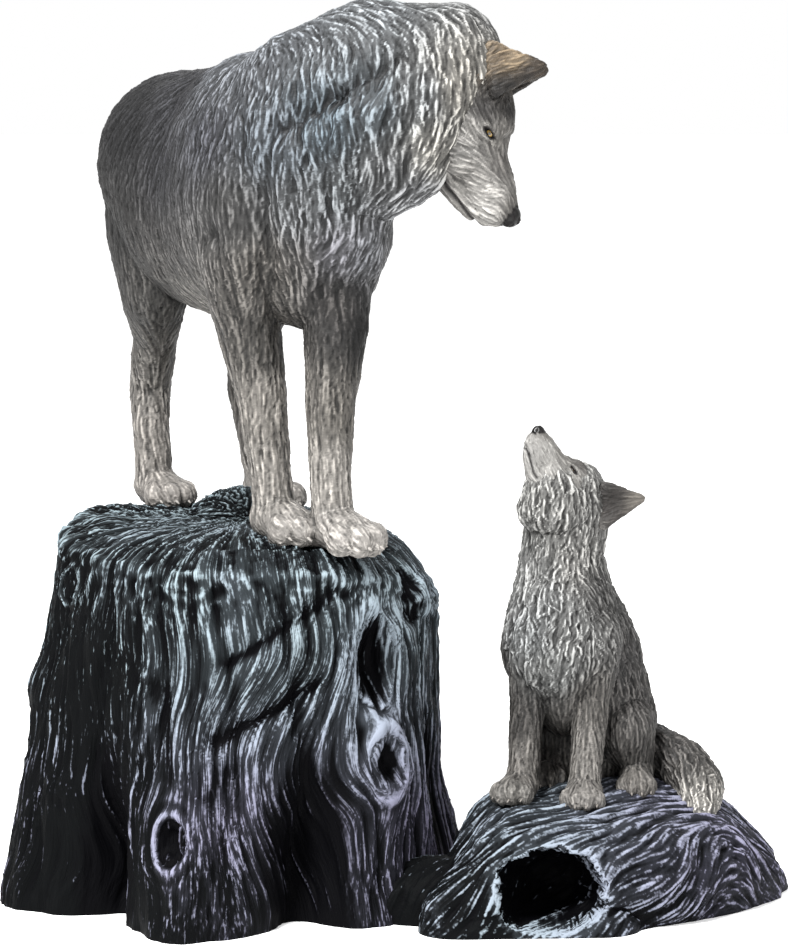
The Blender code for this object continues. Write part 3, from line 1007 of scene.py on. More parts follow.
@dataclass
class Animal:
    """What the grown wolf and the pup have in common."""

    name: str
    voxel: float
    passes: int
    claw_places: list[tuple[Matrix, float]] = field(default_factory=list)

    COAT: ClassVar[tuple[TuftRow, ...]] = ()

    def carve(self, skin: Skin, layers: Sequence[tuple[Locks, float, float]]) -> None:
        """Carves the fur of the body, which is bare nowhere."""
        coat = Coat(tuple(Tuft(*row) for row in self.COAT))
        carved_coat(skin, coat, layers, np.zeros(skin.count), STRANDS / self.voxel)

    def claws(self, paint: bpy.types.Material) -> bpy.types.Object:
        """Makes a claw at the end of each toe."""
        bm = bmesh.new()
        for place, size in self.claw_places:
            claw = place @ Matrix.Rotation(math.radians(112), 4, "Y")
            wide, narrow, long = size * 0.36, size * 0.1, size * 1.5
            bmesh.ops.create_cone(
                bm, cap_ends=True, segments=10, radius1=wide, radius2=narrow, depth=long, matrix=claw
            )
        return small_piece(self.name + "_claws", bm, paint)

    def paw(self, clay: Clay, heel: Triple, size: Triple, turn: float, place: Matrix) -> None:
        """Adds a paw and remembers where its claws go.

        Args:
            clay: The animal's clay.
            heel: A point on the ground under the ankle.
            size: The length, width and height of the paw.
            turn: The heading of the toes in the animal's frame, in degrees.
            place: The animal's frame.
        """
        foot = place @ Matrix.Translation(heel) @ Matrix.Rotation(math.radians(turn), 4, "Z")
        clay.paw(size, foot)
        length, width, height = size
        half = width / 2
        for side, reach in TOES:
            tip = (length * (reach + 0.21), side * half * 1.08, height * 0.24)
            self.claw_places.append((foot @ Matrix.Translation(tip), height * 0.17))


@dataclass
class GrownWolf(Animal):
    """The grown wolf, which stands on the stump and turns its head to the pup."""

    place: tuple[float, float] = (-43.0, 0.0)
    stand: float = 111.0
    heading: float = 22.0
    fore_paw: Triple = (23.0, 17.0, 12.5)
    hind_paw: Triple = (20.0, 15.5, 11.0)

    # How far over the stump's top the mane's locks begin, and where the painted shade in its creases begins
    MANE_FOOT = 50
    CREASE_SHADE_FOOT = 112
    # Half the width of the mane's main locks and creases
    LOCK_HALF_WIDTH = 3.6
    # Place, lie of the hair, shagginess and colour, which in two rows is painted shade
    COAT = (
        # Rump, back and tail
        ((-72, 50, 244), (-0.5, 0.6, -0.5), 0.15, "3b3b3d"),
        ((-52, 30, 250), (-0.5, 0.8, -0.2), 0.2, "343437"),
        ((-86, 45, 226), (-0.3, 0.3, -1), 0.15, "3a3939"),
        ((-74, 25, 228), (-0.25, 0.4, -1), 0.15, "262628"),
        ((-82, 30, 200), (0.0, 0.1, -1), 0.15, "343332"),
        ((-30, 45, 240), (-0.1, 0.8, -0.5), 0.2, "4a4a4d"),
        ((-70, 70, 200), (0, 0.2, -1), 0.5, "4a4a4c"),
        ((-70, 72, 165), (0, 0.1, -1), 0.5, "6a6866"),
        # Hind legs
        ((-76, 25, 178), (0.05, 0, -1), 0.12, "5d5b58"),
        ((-73, 22, 155), (0.1, 0, -1), 0.1, "8e8a84"),
        ((-72, 20, 128), (0.1, 0, -1), 0.05, "d2cbc3"),
        ((-70, 15, 114), (0.5, -0.5, -0.6), 0.0, "dcd5ce"),
        ((-38, 35, 178), (0, 0, -1), 0.12, "454341"),
        ((-40, 30, 150), (0, 0, -1), 0.1, "6f6b66"),
        ((-38, 25, 118), (0.3, -0.4, -0.8), 0.0, "d0cac3"),
        # Flanks and belly
        ((-60, 5, 236), (-0.3, 0.5, -0.9), 0.25, "3d3d41"),
        ((-60, -2, 214), (-0.1, 0.3, -1), 0.22, "36363a"),
        ((-56, -2, 196), (0.15, -0.1, -1), 0.2, "545251"),
        ((-50, 0, 182), (0.5, -0.5, -0.7), 0.2, "a8a49d"),
        ((-36, -22, 178), (0.3, -0.3, -0.9), 0.2, "85807a"),
        ((-14, 35, 215), (-0.1, 0.5, -0.8), 0.25, "66666a"),
        ((-18, 20, 180), (0, 0.3, -0.9), 0.2, "77736e"),
        # Shoulder and forelegs
        ((-48, -26, 226), (-0.12, 0.1, -1), 0.62, "53545a"),
        ((-44, -34, 206), (0.05, 0, -1), 0.5, "585756"),
        ((-38, -40, 188), (0.1, 0, -1), 0.3, "77736e"),
        ((-36, -36, 168), (0.05, 0, -1), 0.12, "5f5c58"),
        ((-37, -36, 148), (0.0, 0, -1), 0.08, "bab4ac"),
        ((-36, -38, 128), (0.1, -0.1, -1), 0.05, "ccc6be"),
        ((-32, -46, 113), (0.4, -0.7, -0.4), 0.0, "dad4cd"),
        # Painted shadow: near black on the side of the left foreleg's top that is turned from the key light
        ((-12, -34, 172), (0.0, 0, -1), 0.12, "171616"),
        ((-16, -36, 148), (0.05, 0, -1), 0.08, "8b867f"),
        ((-18, -40, 126), (0.1, -0.1, -1), 0.05, "d2ccc4"),
        ((-14, -52, 113), (0.4, -0.7, -0.4), 0.0, "ded8d1"),
        # Withers and the ridge of the neck
        ((-46, -10, 254), (-0.4, 0.3, -0.8), 0.6, "73767b"),
        ((-40, -26, 244), (0.15, -0.3, -1), 0.75, "6f7277"),
        ((-32, -26, 256), (0.6, -0.5, -0.6), 0.8, "7c8085"),
        ((-18, -30, 262), (0.75, -0.4, -0.55), 0.85, "84888c"),
        ((-4, -38, 260), (0.75, -0.4, -0.6), 0.85, "868a8d"),
        ((8, -30, 266), (0.7, 0.1, -0.4), 0.5, "8a8a89"),
        ((-20, -8, 262), (0.1, 0.7, -0.3), 0.6, "6a6c70"),
        ((-30, -14, 260), (-0.5, 0.8, -0.1), 0.6, "74777b"),
        ((-14, -16, 265), (-0.4, 0.9, -0.1), 0.7, "7c7f83"),
        ((2, -20, 267), (-0.2, 0.9, -0.1), 0.7, "808386"),
        # The mane under the crease
        ((-34, -48, 226), (-0.15, 0, -1), 0.9, "62686e"),
        ((-20, -54, 232), (-0.1, 0, -1), 1.0, "5a646b"),
        ((-6, -58, 238), (-0.05, 0, -1), 1.0, "666d72"),
        ((8, -60, 240), (0.05, 0, -1), 1.0, "7f8182"),
        ((20, -58, 242), (0.1, 0, -1), 0.85, "b0aca4"),
        ((-30, -52, 206), (0.05, 0, -1), 0.95, "6c6e70"),
        ((-16, -56, 210), (0, 0, -1), 1.0, "74787a"),
        ((-2, -58, 216), (-0.12, 0, -1), 1.0, "7e7f80"),
        ((14, -58, 224), (-0.4, 0, -0.95), 0.95, "b2afa8"),
        ((6, -52, 208), (-0.5, 0, -0.85), 0.95, "8f9092"),
        # Chest
        ((-30, -50, 190), (0.1, 0, -1), 0.7, "6d6a67"),
        ((-16, -52, 194), (-0.5, 0, -0.8), 0.8, "76757a"),
        ((-6, -50, 190), (-0.25, 0, -1), 0.85, "808287"),
        # Painted shade under the chest
        ((-16, -46, 180), (0.1, 0, -1), 0.6, "4c4947"),
        # The far side of the neck
        ((4, -12, 250), (0.1, 0.5, -0.8), 0.8, "74767a"),
        ((22, -18, 240), (-0.1, 0.4, -0.9), 0.85, "7d7c7a"),
        ((0, -10, 214), (-0.2, 0.2, -1), 0.9, "757576"),
        ((4, -20, 195), (-0.2, 0.1, -1), 0.8, "7b7b7c"),
        ((-14, 10, 205), (-0.3, 0.4, -0.9), 0.5, "67676a"),
    )

    FACE = (
        ((28, 3, 4), (-0.6, 0.3, 0), 0.05, "85817c"),
        ((22, 5, -3), (-0.4, 0, -0.9), 0.08, "e0dcd6"),
        ((26, 4, -7), (-0.5, 0, -0.8), 0.05, "f2efe9"),
        ((14, 6, -6), (-0.5, 0, -0.85), 0.1, "d6d2cc"),
        ((14, 3, 2), (-0.8, 0.2, 0), 0.08, "8d8985"),
        ((8, 8, -8), (-0.6, 0, -0.8), 0.12, "cac7c2"),
        ((7, 8, 4), (-0.8, 0.1, 0.3), 0.1, "9d9993"),
        ((3, 9, -3), (-0.9, 0.1, -0.3), 0.12, "dedad4"),
        ((0, 6, 9), (-1, 0, 0.1), 0.12, "444241"),
        ((-1, 11, 0), (-0.9, 0.1, -0.3), 0.15, "444241"),
        ((0, 11, -9), (-0.7, 0, -0.7), 0.2, "d6d3ce"),
        ((-8, 11, -12), (-0.8, 0.1, -0.6), 0.5, "a5a29d"),
        ((16, 4, -17), (-0.9, 0, -0.3), 0.1, "8e8b87"),
        ((26, 2, -11), (-0.9, 0, -0.2), 0.05, "b7b3ad"),
        ((-14, 9, 8), (-0.2, 0.1, 1), 0.3, "a08c73"),
        ((-13, 9.5, 11), (-0.1, 0.1, 1), 0.1, "c2ab8c"),
        ((-5.8, 12.2, 5.5), (-0.1, 0.1, 1), 0.1, "2e2c2b"),
        ((-6.8, 11.8, 9), (-0.1, 0.1, 1), 0.1, "34312f"),
        ((-8.4, 11, 13.5), (-0.1, 0.1, 1), 0.1, "3c3835"),
        ((-16, 7, 4), (-0.5, 0, 0.8), 0.3, "8b7d6b"),
        ((-6, 8, 11), (0.0, 0, 1), 0.1, "3a3735"),
        ((-10.6, 9.5, 18.4), (0, 0, 1), 0.0, "564c42"),
    )

    def clay(self) -> Clay:
        """Roughs out the body, the legs, the tail and the neck."""
        clay = Clay()
        body = standing(self.place, self.stand, self.heading)
        clay.limb(
            [
                ((-45.5, -5, 106), (20, 27, 28)),
                ((-30, -5, 99), (20, 26, 35.5)),
                ((-12, -1, 98.5), (20, 25, 38)),
                ((8, 0, 101), (20, 26, 40)),
                ((24, 1, 97), (18, 26, 35)),
            ],
            body,
        )
        for shoulder, elbow, middle, wrist, heel in (
            ((24, -13, 86), (23, -9, 62), (26, -6, 42), (29, -4.4, 19), (30, -3.6, -1.5)),
            ((34, 14, 84), (40, 12, 62), (43, 9.2, 42), (46, 7.8, 19), (47.5, 8, -2.5)),
        ):
            leg = [
                (shoulder, (14, 11, 20)),
                (elbow, (9.5, 9.2, 12)),
                (middle, (7.4, 7.2, 8)),
                (wrist, (5.8, 5.8, 6)),
                ((*heel[:2], 8), (5.8, 6, 4)),
            ]
            clay.limb(leg, body)
            self.paw(clay, heel, self.fore_paw, 14, body)
        right = ((-45, -16, 90), (-42, -16, 68), (-51, -12.6, 53), (-58, -12, 37), (-54, -13.4, 24))
        left = ((-36, 13, 92), (-26, 14, 70), (-35, 13.4, 53), (-42, 14.4, 37), (-38, 15, 24))
        for hip, knee, shank, hock, ankle, heel in ((*right, (-52, -13, 0)), (*left, (-35, 17, 0))):
            leg = [
                (hip, (19, 13, 24)),
                (knee, (12, 10, 13)),
                (shank, (8, 6.4, 8)),
                (hock, (6.6, 6.2, 7)),
                (ankle, (5.4, 5.4, 6)),
                ((*heel[:2], 9), (5.4, 5.6, 5)),
            ]
            clay.limb(leg, body)
            self.paw(clay, heel, self.hind_paw, 10, body)
        clay.limb(
            [
                ((-62, -3, 116), (8, 7, 8)),
                ((-72, -4, 98), (7, 7.5, 9)),
                ((-75, -5, 76), (7, 7.5, 9)),
                ((-73, -5, 56), (6, 6.5, 8)),
                ((-70, -5, 42), (3, 3, 4)),
            ],
            body,
        )
        rise = Matrix.Translation((*self.place, self.stand))
        clay.limb(
            [
                ((6, -14, 106), (25, 24, 33)),
                ((20, -26, 117), (25, 23, 31.5)),
                ((36, -34, 124.5), (22, 21, 31.5)),
                ((48, -38, 127), (17, 18, 27.5)),
                ((59.5, -40, 135), (15, 15, 20)),
            ],
            rise,
        )
        clay.wrapped([((22, -27, 100), (21, 20, 22)), ((24, -28, 88), (18, 19, 20))], rise)
        clay.wrapped([((24, -28, 88), (18, 19, 18)), ((20, -24, 74), (17, 17, 14))], rise)
        clay.wrapped([((23, -28, 100), (18, 19, 18)), ((42, -38, 119), (12, 15, 11))], rise)
        return clay

    # The mane's main locks and the creases beside them: x and z from where the wolf stands, and height
    MANE = (
        ((-4.6, 124.5), (-2.8, 93.7), 1.2),
        ((5.2, 122.6), (1.8, 85.4), 1.4),
        ((13.2, 111.2), (11.8, 81.1), 1.5),
        ((21.2, 116.9), (19.5, 78.2), 1.5),
        ((29, 122.6), (27.5, 82), 1.5),
        ((36.7, 126), (34.7, 88.3), 1.5),
        ((44.7, 128.3), (41.9, 95.4), 1.5),
        ((52.7, 130.6), (48.7, 99.7), 1.4),
        ((59.6, 131.2), (54.5, 106), 1.2),
        ((12.7, 119.2), (27.5, 128.3), -2.2),
        ((27.5, 128.3), (45.3, 139.2), -2.2),
        ((-13.2, 112.2), (-10.3, 88.4), -1.2),
        ((-10.3, 88.4), (-1.3, 64.6), -1.2),
    )

    def combed(self, skin: Skin) -> np.ndarray:
        """The main locks of the mane and the creases beside them, as a push of the skin."""
        spots = skin.points[:, (0, 2)] - (self.place[0], self.stand)
        push = np.zeros(skin.count)
        for start, end, height in self.MANE:
            push += height * bell(line_gap(spots, start, end), self.LOCK_HALF_WIDTH)
        return push * np.clip(-skin.facing[:, 1] * 2, 0, 1) * (spots[:, 1] > self.MANE_FOOT)

    def build(self, fur: bpy.types.Material) -> bpy.types.Object:
        """Makes the body with its fur."""
        skin = self.clay().fused(self.name, self.voxel, self.passes)
        skin.push(self.combed(skin))
        layers = (
            (Locks(1.8, 5.8, 0.66, 0.42, 0.35, 1.0, 11, 21), 0.62, 0.38),
            (Locks(2.6, 9.5, 0.95, 0.62, 0.7, 1.0, 12, 22), 0.4, 0.66),
            (Locks(3.3, 26.0, 1.3, 1.1, 1.6, 1.0, 6, 23), 0.74, 0.94),
        )
        self.carve(skin, layers)
        # Painted shade: the creases of the mane on its right half, above the crease foot, are darkened
        fold_shade = smooth(-self.combed(skin), 0.8, 2.2) * (skin.points[:, 0] > self.place[0])
        skin.keep(dark=0.3 * fold_shade * (skin.points[:, 2] > self.stand + self.CREASE_SHADE_FOOT))
        return skin.finished(fur)

    def head(self) -> WolfHead:
        """The head, which is turned to the viewer's right and looks down."""
        rise = Matrix.Translation((*self.place, self.stand))
        return WolfHead(
            "grown_wolf_head",
            rise @ aimed((69.4, -42, 122.8), (0.18, -0.1, -0.98), (0.98, -0.06, 0.18)),
            1.0,
            ((-5.5, 12, 4), (-18.5, 8.5, 5), (-8, 3.5, 7), (-10.6, 9.5, 18.4)),
            1.9,
            0.45,
            self.FACE,
            "a8883c",
        )


@dataclass
class Pup(Animal):
    """The pup, which sits on the log and lifts its nose to the grown wolf."""

    place: tuple[float, float] = (51.0, -14.0)
    seat: float = 31.0
    head_scale: float = 0.6
    fore_paw: Triple = (13.5, 12.5, 8.5)
    hind_paw: Triple = (13.0, 11.5, 8.5)

    COAT = (
        ((46, -32, 112), (-0.1, 0, -1), 0.7, "b9b8b4"),
        ((38, -28, 100), (0.0, 0, -1), 0.75, "b0b0ae"),
        ((54, -30, 100), (0.1, 0, -1), 0.8, "b4b2ae"),
        ((46, -32, 92), (0, 0, -1), 0.9, "a9aaa9"),
        ((40, -30, 82), (0.1, 0, -1), 1.0, "9fa1a1"),
        ((52, -30, 82), (-0.1, 0, -1), 1.0, "a3a3a1"),
        ((46, -32, 70), (0, 0, -1), 0.6, "a6a7a5"),
        ((62, -22, 90), (0.4, 0.2, -0.9), 0.7, "706f6d"),
        ((64, -14, 72), (0.4, 0.2, -0.9), 0.7, "5d5b5a"),
        ((68, -10, 58), (0.2, 0.1, -1), 0.6, "6c6967"),
        ((66, 8, 60), (0.2, 0.5, -0.8), 0.5, "55534f"),
        ((54, 4, 90), (0.0, 0.5, -0.8), 0.6, "5c5a59"),
        ((34, -14, 70), (-0.2, 0.2, -0.9), 0.4, "6e6b68"),
        # Painted shade between the forelegs, under the chest
        ((46, -20, 46), (0, 0, -1), 0.2, "3c3936"),
        ((36, -26, 56), (0, 0, -1), 0.15, "5e5b58"),
        ((36, -30, 44), (0, 0, -1), 0.08, "a19c96"),
        ((36, -38, 33), (0, -0.6, -0.7), 0.0, "b0aca6"),
        ((60, -28, 60), (0.05, 0, -1), 0.15, "827e79"),
        ((58, -32, 46), (0, 0, -1), 0.08, "b0aba5"),
        ((56, -42, 32), (0, -0.6, -0.7), 0.0, "bdb8b2"),
        ((72, -14, 44), (0.1, -0.2, -0.9), 0.2, "6a6764"),
        ((72, -24, 34), (0, -0.6, -0.7), 0.0, "a39e98"),
        ((44, -12, 34), (0, -0.6, -0.7), 0.0, "8e8984"),
        # Tail, from its root to its tip
        ((72, 8, 40), (0.7, -0.4, 0.1), 0.9, "403e3c"),
        ((84, -2, 42), (0.6, -0.6, -0.3), 0.95, "4e4b49"),
        ((92, -10, 36), (0.3, -0.6, -0.7), 0.95, "625f5c"),
        ((92, -20, 27), (0, -0.6, -0.8), 0.8, "cfcbc4"),
    )

    FACE = (
        ((28, 3, 4), (-0.6, 0.3, 0), 0.05, "9b9791"),
        ((22, 5, -3), (-0.9, 0, -0.3), 0.05, "f4f1eb"),
        ((26, 4, -7), (-0.9, 0, -0.2), 0.03, "f6f3ee"),
        ((14, 6, -6), (-0.9, 0, -0.3), 0.08, "f2efe9"),
        ((14, 3, 2), (-0.8, 0.2, 0), 0.08, "a8a49e"),
        ((6, 9, -8), (-0.9, 0, -0.3), 0.2, "e8e5df"),
        ((5, 7, 6), (-0.8, 0.1, 0.3), 0.1, "75716d"),
        ((3, 9, -3), (-0.9, 0.1, -0.3), 0.12, "d3d0ca"),
        ((-3, 5, 9), (-1, 0, 0.1), 0.2, "5f5c5a"),
        ((-2, 11, -3), (-0.9, 0.1, -0.2), 0.3, "b1aea9"),
        ((-3, 11, -11), (-0.9, 0, -0.4), 0.7, "bcb9b4"),
        ((-11, 11, -10), (-0.9, 0.1, -0.3), 0.75, "a3a09c"),
        ((-12, 8, 5), (-1, 0.1, 0.1), 0.4, "5d5a58"),
        ((14, 4, -17), (-0.9, 0, -0.1), 0.1, "f4f1ec"),
        ((26, 2, -11), (-0.9, 0, -0.1), 0.05, "f6f3ee"),
        ((-22, 12, 2), (-0.3, 0.2, 0.8), 0.1, "544f4c"),
        ((-18, 12, 6), (-0.6, 0.2, 0.8), 0.1, "4b4643"),
        ((-29, 16, 14), (-0.6, 0.2, 0.8), 0.0, "a39c93"),
    )

    def clay(self) -> Clay:
        """Roughs out the body, the legs, the tail and the neck."""
        clay = Clay()
        rise = Matrix.Translation((*self.place, self.seat))
        clay.limb(
            [
                ((7, 14, 18), (21, 17, 22)),
                ((5.5, 8, 40), (17, 15, 19)),
                ((-0.5, 1, 57), (14.5, 13.5, 15)),
                ((-1, 1, 72), (11.4, 11.5, 12)),
                ((1, 1, 84), (11.5, 11, 11)),
            ],
            rise,
        )
        clay.wrapped([((-2.4, -3, 44), (16.6, 14, 17)), ((-1, -1, 57), (15, 13.5, 13))], rise)
        clay.wrapped([((-2, -3, 44), (13, 13, 15)), ((0, 0, 28), (9, 10, 10))], rise)
        for shoulder, elbow, wrist, heel, turn in (
            ((-10.5, -5, 46), (-11.4, -6, 31), (-12.4, -11, 11), (-13, -12.5, 0.6), -118),
            ((9, -6, 46), (7.8, -6, 30), (5.8, -13, 11), (5.4, -15, -0.6), -98),
        ):
            leg = [
                (shoulder, (7, 8, 12)),
                (elbow, (5.2, 5.6, 8)),
                (wrist, (4.5, 4.5, 5)),
                ((*heel[:2], 5), (4.6, 4.8, 4)),
            ]
            clay.limb(leg, rise)
            self.paw(clay, heel, self.fore_paw, turn, rise)
        for hip, knee, shank, heel in (
            ((13, 14, 19), (18.5, 2, 18), (21.4, 4, 8), (21.4, -1, 0.4)),
            ((0, 16, 18), (-4, 6, 17), (-5, 8, 8), (-5.5, 5, 1.6)),
        ):
            leg = [
                (hip, (14, 14, 17)),
                (knee, (8.4, 8.4, 10)),
                (shank, (5.4, 6, 6)),
                ((*heel[:2], 5), (5, 6, 4)),
            ]
            clay.limb(leg, rise)
            self.paw(clay, heel, self.hind_paw, -92, rise)
        clay.limb(
            [
                ((16, 26, 8), (7, 7, 8)),
                ((27, 17, 10), (7, 7.5, 7.5)),
                ((36, 8, 7), (6.6, 7, 7.5)),
                ((41, 0, 1), (6.2, 6.6, 7.5)),
                ((40, -8, -5), (4, 4, 4.6)),
            ],
            rise,
        )
        clay.limb([((0, 0, 86), (12, 11, 8)), ((1, -1, 92), (10, 9, 8))], rise)
        clay.wrapped([((-3, -4, 86), (11, 9, 7)), ((-4, -6, 92), (8, 7, 7))], rise)
        return clay

    def build(self, fur: bpy.types.Material) -> bpy.types.Object:
        """Makes the body with its fur."""
        skin = self.clay().fused(self.name, self.voxel, self.passes)
        layers = (
            (Locks(1.6, 4.2, 0.55, 0.3, 0.25, 1.0, 12, 31), 0.5, 0.3),
            (Locks(2.5, 8.5, 1.05, 0.85, 0.9, 1.7, 15, 32), 0.35, 0.62),
        )
        self.carve(skin, layers)
        skin.keep(dark=np.zeros(skin.count))
        return skin.finished(fur)

    def head(self) -> WolfHead:
        """The head, with its nose in the air."""
        rise = Matrix.Translation((*self.place, self.seat))
        return WolfHead(
            "pup_head",
            rise @ aimed((1.3, -3, 96), (-0.6, -0.3, 0.75), (0.67, 0.32, 0.67)),
            self.head_scale,
            ((-25, 14, -8), (-20, 8, 2), (-11.5, 10, 7), (-29, 16, 16)),
            2.6,
            0.34,
            self.FACE,
            "5f4526",
        )


@dataclass(frozen=True)
class Knot:
    """A knot in the stump, which the grain flows round.

    Attributes:
        direction: Degrees from the viewer's right.
        height: Its height over the table.
        half_width: Half its width.
        half_height: Half its height.
        lip: How far its rim stands out.
        rings: How deep its rings are cut.
    """

    direction: float
    height: float
    half_width: float
    half_height: float
    lip: float
    rings: float


def turned_from(angle: np.ndarray, centre: float) -> np.ndarray:
    """The angle from centre in degrees, from -180 to 180."""
    return (angle - centre + 180) % 360 - 180


@dataclass
class Stump:
    """The tree stump, with its roots, its recesses and its knots.

    Attributes:
        height: How high its top is over the table.
        place: Its middle on the table.
        half_width: Half its width where no root leaves the trunk.
        half_depth: Half its depth where no root leaves the trunk.
        flare: How much further out its side is at the table.
        rim_drop: How far the rim is under the middle of the top.
        rim_drop_right: How much further the rim falls at the right.
        underside: Where the drum of clay ends, under the table.
        voxel: The size of the skin's faces.
    """

    height: float = 111.0
    place: tuple[float, float] = (-43.5, 0.0)
    half_width: float = 54.8
    half_depth: float = 62.0
    flare: float = 3.0
    rim_drop: float = 7.0
    rim_drop_right: float = 17.0
    underside: float = -6.0
    voxel: float = 0.8

    # The grooves down the trunk: how many, how deep and how far they sway to each side, in degrees
    GROOVES = 19
    GROOVE_DEPTH = 2.0
    GROOVE_SWAY = 3.0
    # The radius of the straight tree whose grain is bent to the stump's
    STRAIGHT_RADIUS = 58.0
    # Direction in degrees, reach, spread in degrees and the height where the root leaves the trunk
    ROOTS = (
        (-160, 19, 20, 120),
        (-126, 5, 7, 80),
        (-104, 15, 13, 72),
        (-58, 9, 15, 66),
        (-24, 7, 12, 60),
        (8, 10, 13, 38),
        (52, 16, 13, 62),
        (100, 15, 15, 70),
        (142, 17, 13, 66),
        (176, 8, 10, 60),
    )
    # Direction, height, half width in degrees, half height and depth
    DENTS = (
        (-130, 14, 8, 30, 17),
        (-72, 14, 10, 30, 21),
        (-18, 30, 8, 26, 7),
        (33, 24, 9, 24, 12),
        (76, 24, 9, 30, 14),
        (122, 22, 10, 28, 14),
        (160, 26, 8, 26, 11),
        (-50, 75, 13, 22, -4),
        (-50, 76, 7, 13, 15),
        (-50, 46, 10, 12, -5),
        (-50, 47, 4, 6, 8),
        (-30, 93, 7, 9, 7),
        (-107, 27, 4, 7, 6),
        (-166, 64, 14, 9, -3),
    )
    # Direction and height of both ends, half width and depth
    GOUGES = (
        (-65, 97, -94, 78, 3.2, 2.6),
        (-71, 71, -96, 56, 3.6, 3.4),
        (-95, 47, -98, 40, 6.0, 2.6),
        (-112, 70, -108, 45, 3.0, 1.8),
        (60, 90, 75, 50, 3.6, 2.6),
        (130, 80, 118, 45, 3.6, 2.6),
    )
    KNOTS = (
        Knot(-50, 76, 9.0, 15.0, 1.6, 0.3),
        Knot(-50, 47, 6.0, 8.5, 1.2, 0.6),
        Knot(-30, 93, 7.0, 9.0, 0.8, 0.3),
        Knot(-107, 27, 4.0, 7.0, 0.8, 0.8),
        Knot(-150, 96, 5.0, 5.0, 0.6, 0.7),
        Knot(60, 74, 7.0, 11.0, 1.2, 0.6),
        Knot(150, 52, 6.0, 9.0, 1.0, 0.6),
    )

    def radius(self, angle: np.ndarray, height: np.ndarray) -> np.ndarray:
        """How far the side of the stump is from its middle."""
        turn = np.radians(angle)
        radius = 1 / np.hypot(np.cos(turn) / self.half_width, np.sin(turn) / self.half_depth)
        radius = radius + self.flare * (1 - height / self.height)
        for direction, reach, spread, top in self.ROOTS:
            rise = np.clip(1 - height / top, 0, 1.1)
            width = spread * (1.35 - 0.35 * rise)
            radius += reach * rise**1.25 * np.exp(-((turned_from(angle, direction) / width) ** 2))
        for direction, level, half_width, half_height, depth in self.DENTS:
            across = bell(turned_from(angle, direction), half_width)
            radius -= depth * across * bell(height - level, half_height)
        for gap, half_width, depth in self.gouges(angle, height):
            radius -= depth * bell(gap, half_width)
        sway = self.GROOVE_SWAY * np.sin(height / 17 + turn * 3)
        groove = np.clip(np.cos(np.radians((angle + sway) * self.GROOVES)), 0, None) ** 2
        return radius - self.GROOVE_DEPTH * groove

    def gouges(self, angle: np.ndarray, height: np.ndarray) -> Iterator[tuple[np.ndarray, float, float]]:
        """Gives how far each gouge is from the points of the side, its half width and its depth."""
        arc = math.radians(self.half_width)
        for direction, level, last_direction, last_level, half_width, depth in self.GOUGES:
            end = ((last_direction - direction) * arc, last_level - level)
            spots = np.stack((turned_from(angle, direction) * arc, height - level), axis=1)
            yield line_gap(spots, (0, 0), end), half_width, depth

    def rim(self, angle: np.ndarray) -> np.ndarray:
        """The height of the rim, which is lowest at the right and level with the top at the back."""
        right = bell(turned_from(angle, 20), 55)
        back = bell(turned_from(angle, 150), 50)
        return self.height - self.rim_drop * (1 - back) - self.rim_drop_right * right

    def clay(self) -> Clay:
        """Roughs out the stump from a drum, whose side is moved out to the roots."""
        clay = Clay()
        drum = clay.lump
        bmesh.ops.create_cone(drum, cap_ends=True, segments=240, radius1=1, radius2=1, depth=1)
        upright = [e for e in drum.edges if abs(e.verts[0].co.z - e.verts[1].co.z) > 0.5]
        bmesh.ops.subdivide_edges(drum, edges=upright, cuts=80)
        top = max(drum.faces, key=lambda face: face.calc_center_median().z)
        for width in (0.07, 0.09, 0.14, 0.25, 0.25):
            bmesh.ops.inset_region(drum, faces=[top], thickness=width, use_even_offset=True)
        at = np.array([vert.co for vert in drum.verts])
        angle = np.degrees(np.arctan2(at[:, 1], at[:, 0]))
        share = np.hypot(at[:, 0], at[:, 1])
        rim = self.rim(angle)
        side = self.underside + (at[:, 2] + 0.5) * (rim - self.underside)
        inner = share < 0.98
        level = np.where(inner, self.height - (self.height - rim) * share**6, side)
        reach = self.radius(angle, np.where(inner, rim, side)) * np.where(inner, share, 1)
        for vert, a, r, z in zip(drum.verts, np.radians(angle), reach, level):
            vert.co = (self.place[0] + r * math.cos(a), self.place[1] + r * math.sin(a), z)
        rise = Matrix.Translation((*self.place, self.height))
        clay.ball((14 - self.half_width, -2, -self.rim_drop), (11, 16, 8), rise)
        clay.ball((-2, 14, -3), (17, 14, 11), rise)
        clay.ball((self.half_width - 11, -14, -21), (10, 14, 9), rise)
        return clay

    def grain(self, points: np.ndarray) -> tuple[np.ndarray, np.ndarray]:
        """The grain of the wood, which flows down the trunk and round the knots.

        Args:
            points: Points of the skin.

        Returns:
            The place of each point in the straight tree, and for each point how near it is to a
            knot's rim and how high the rings round a knot stand there.
        """
        x = points[:, 0] - self.place[0]
        y = points[:, 1] - self.place[1]
        z = points[:, 2]
        angle = self.angle(points)
        reach = np.hypot(x, y)
        degree = 57.3 / self.STRAIGHT_RADIUS
        shift = -0.72 * bell(turned_from(angle, -80), 17) * bell(z - 66, 30) * (z - 66)
        for direction, _, spread, top in self.ROOTS:
            lean = turned_from(angle, direction) * 0.3 * bell(turned_from(angle, direction), spread * 1.6)
            shift += lean * np.clip(1 - z / top, 0, 1)
        rims = np.zeros(len(points))
        rings = np.zeros(len(points))
        for knot in self.KNOTS:
            across = turned_from(angle, knot.direction) / degree
            up = (z - knot.height) * knot.half_width / knot.half_height
            far = np.hypot(across, up) / knot.half_width
            shift -= across * degree / np.maximum(far**2, 1) * (far >= 1)
            rims += knot.lip * bell(far - 1.12, 0.3)
            rings += knot.rings * np.sin(far * 11) * bell(far - 1.0, 0.9)
        wound = np.radians(angle + shift)
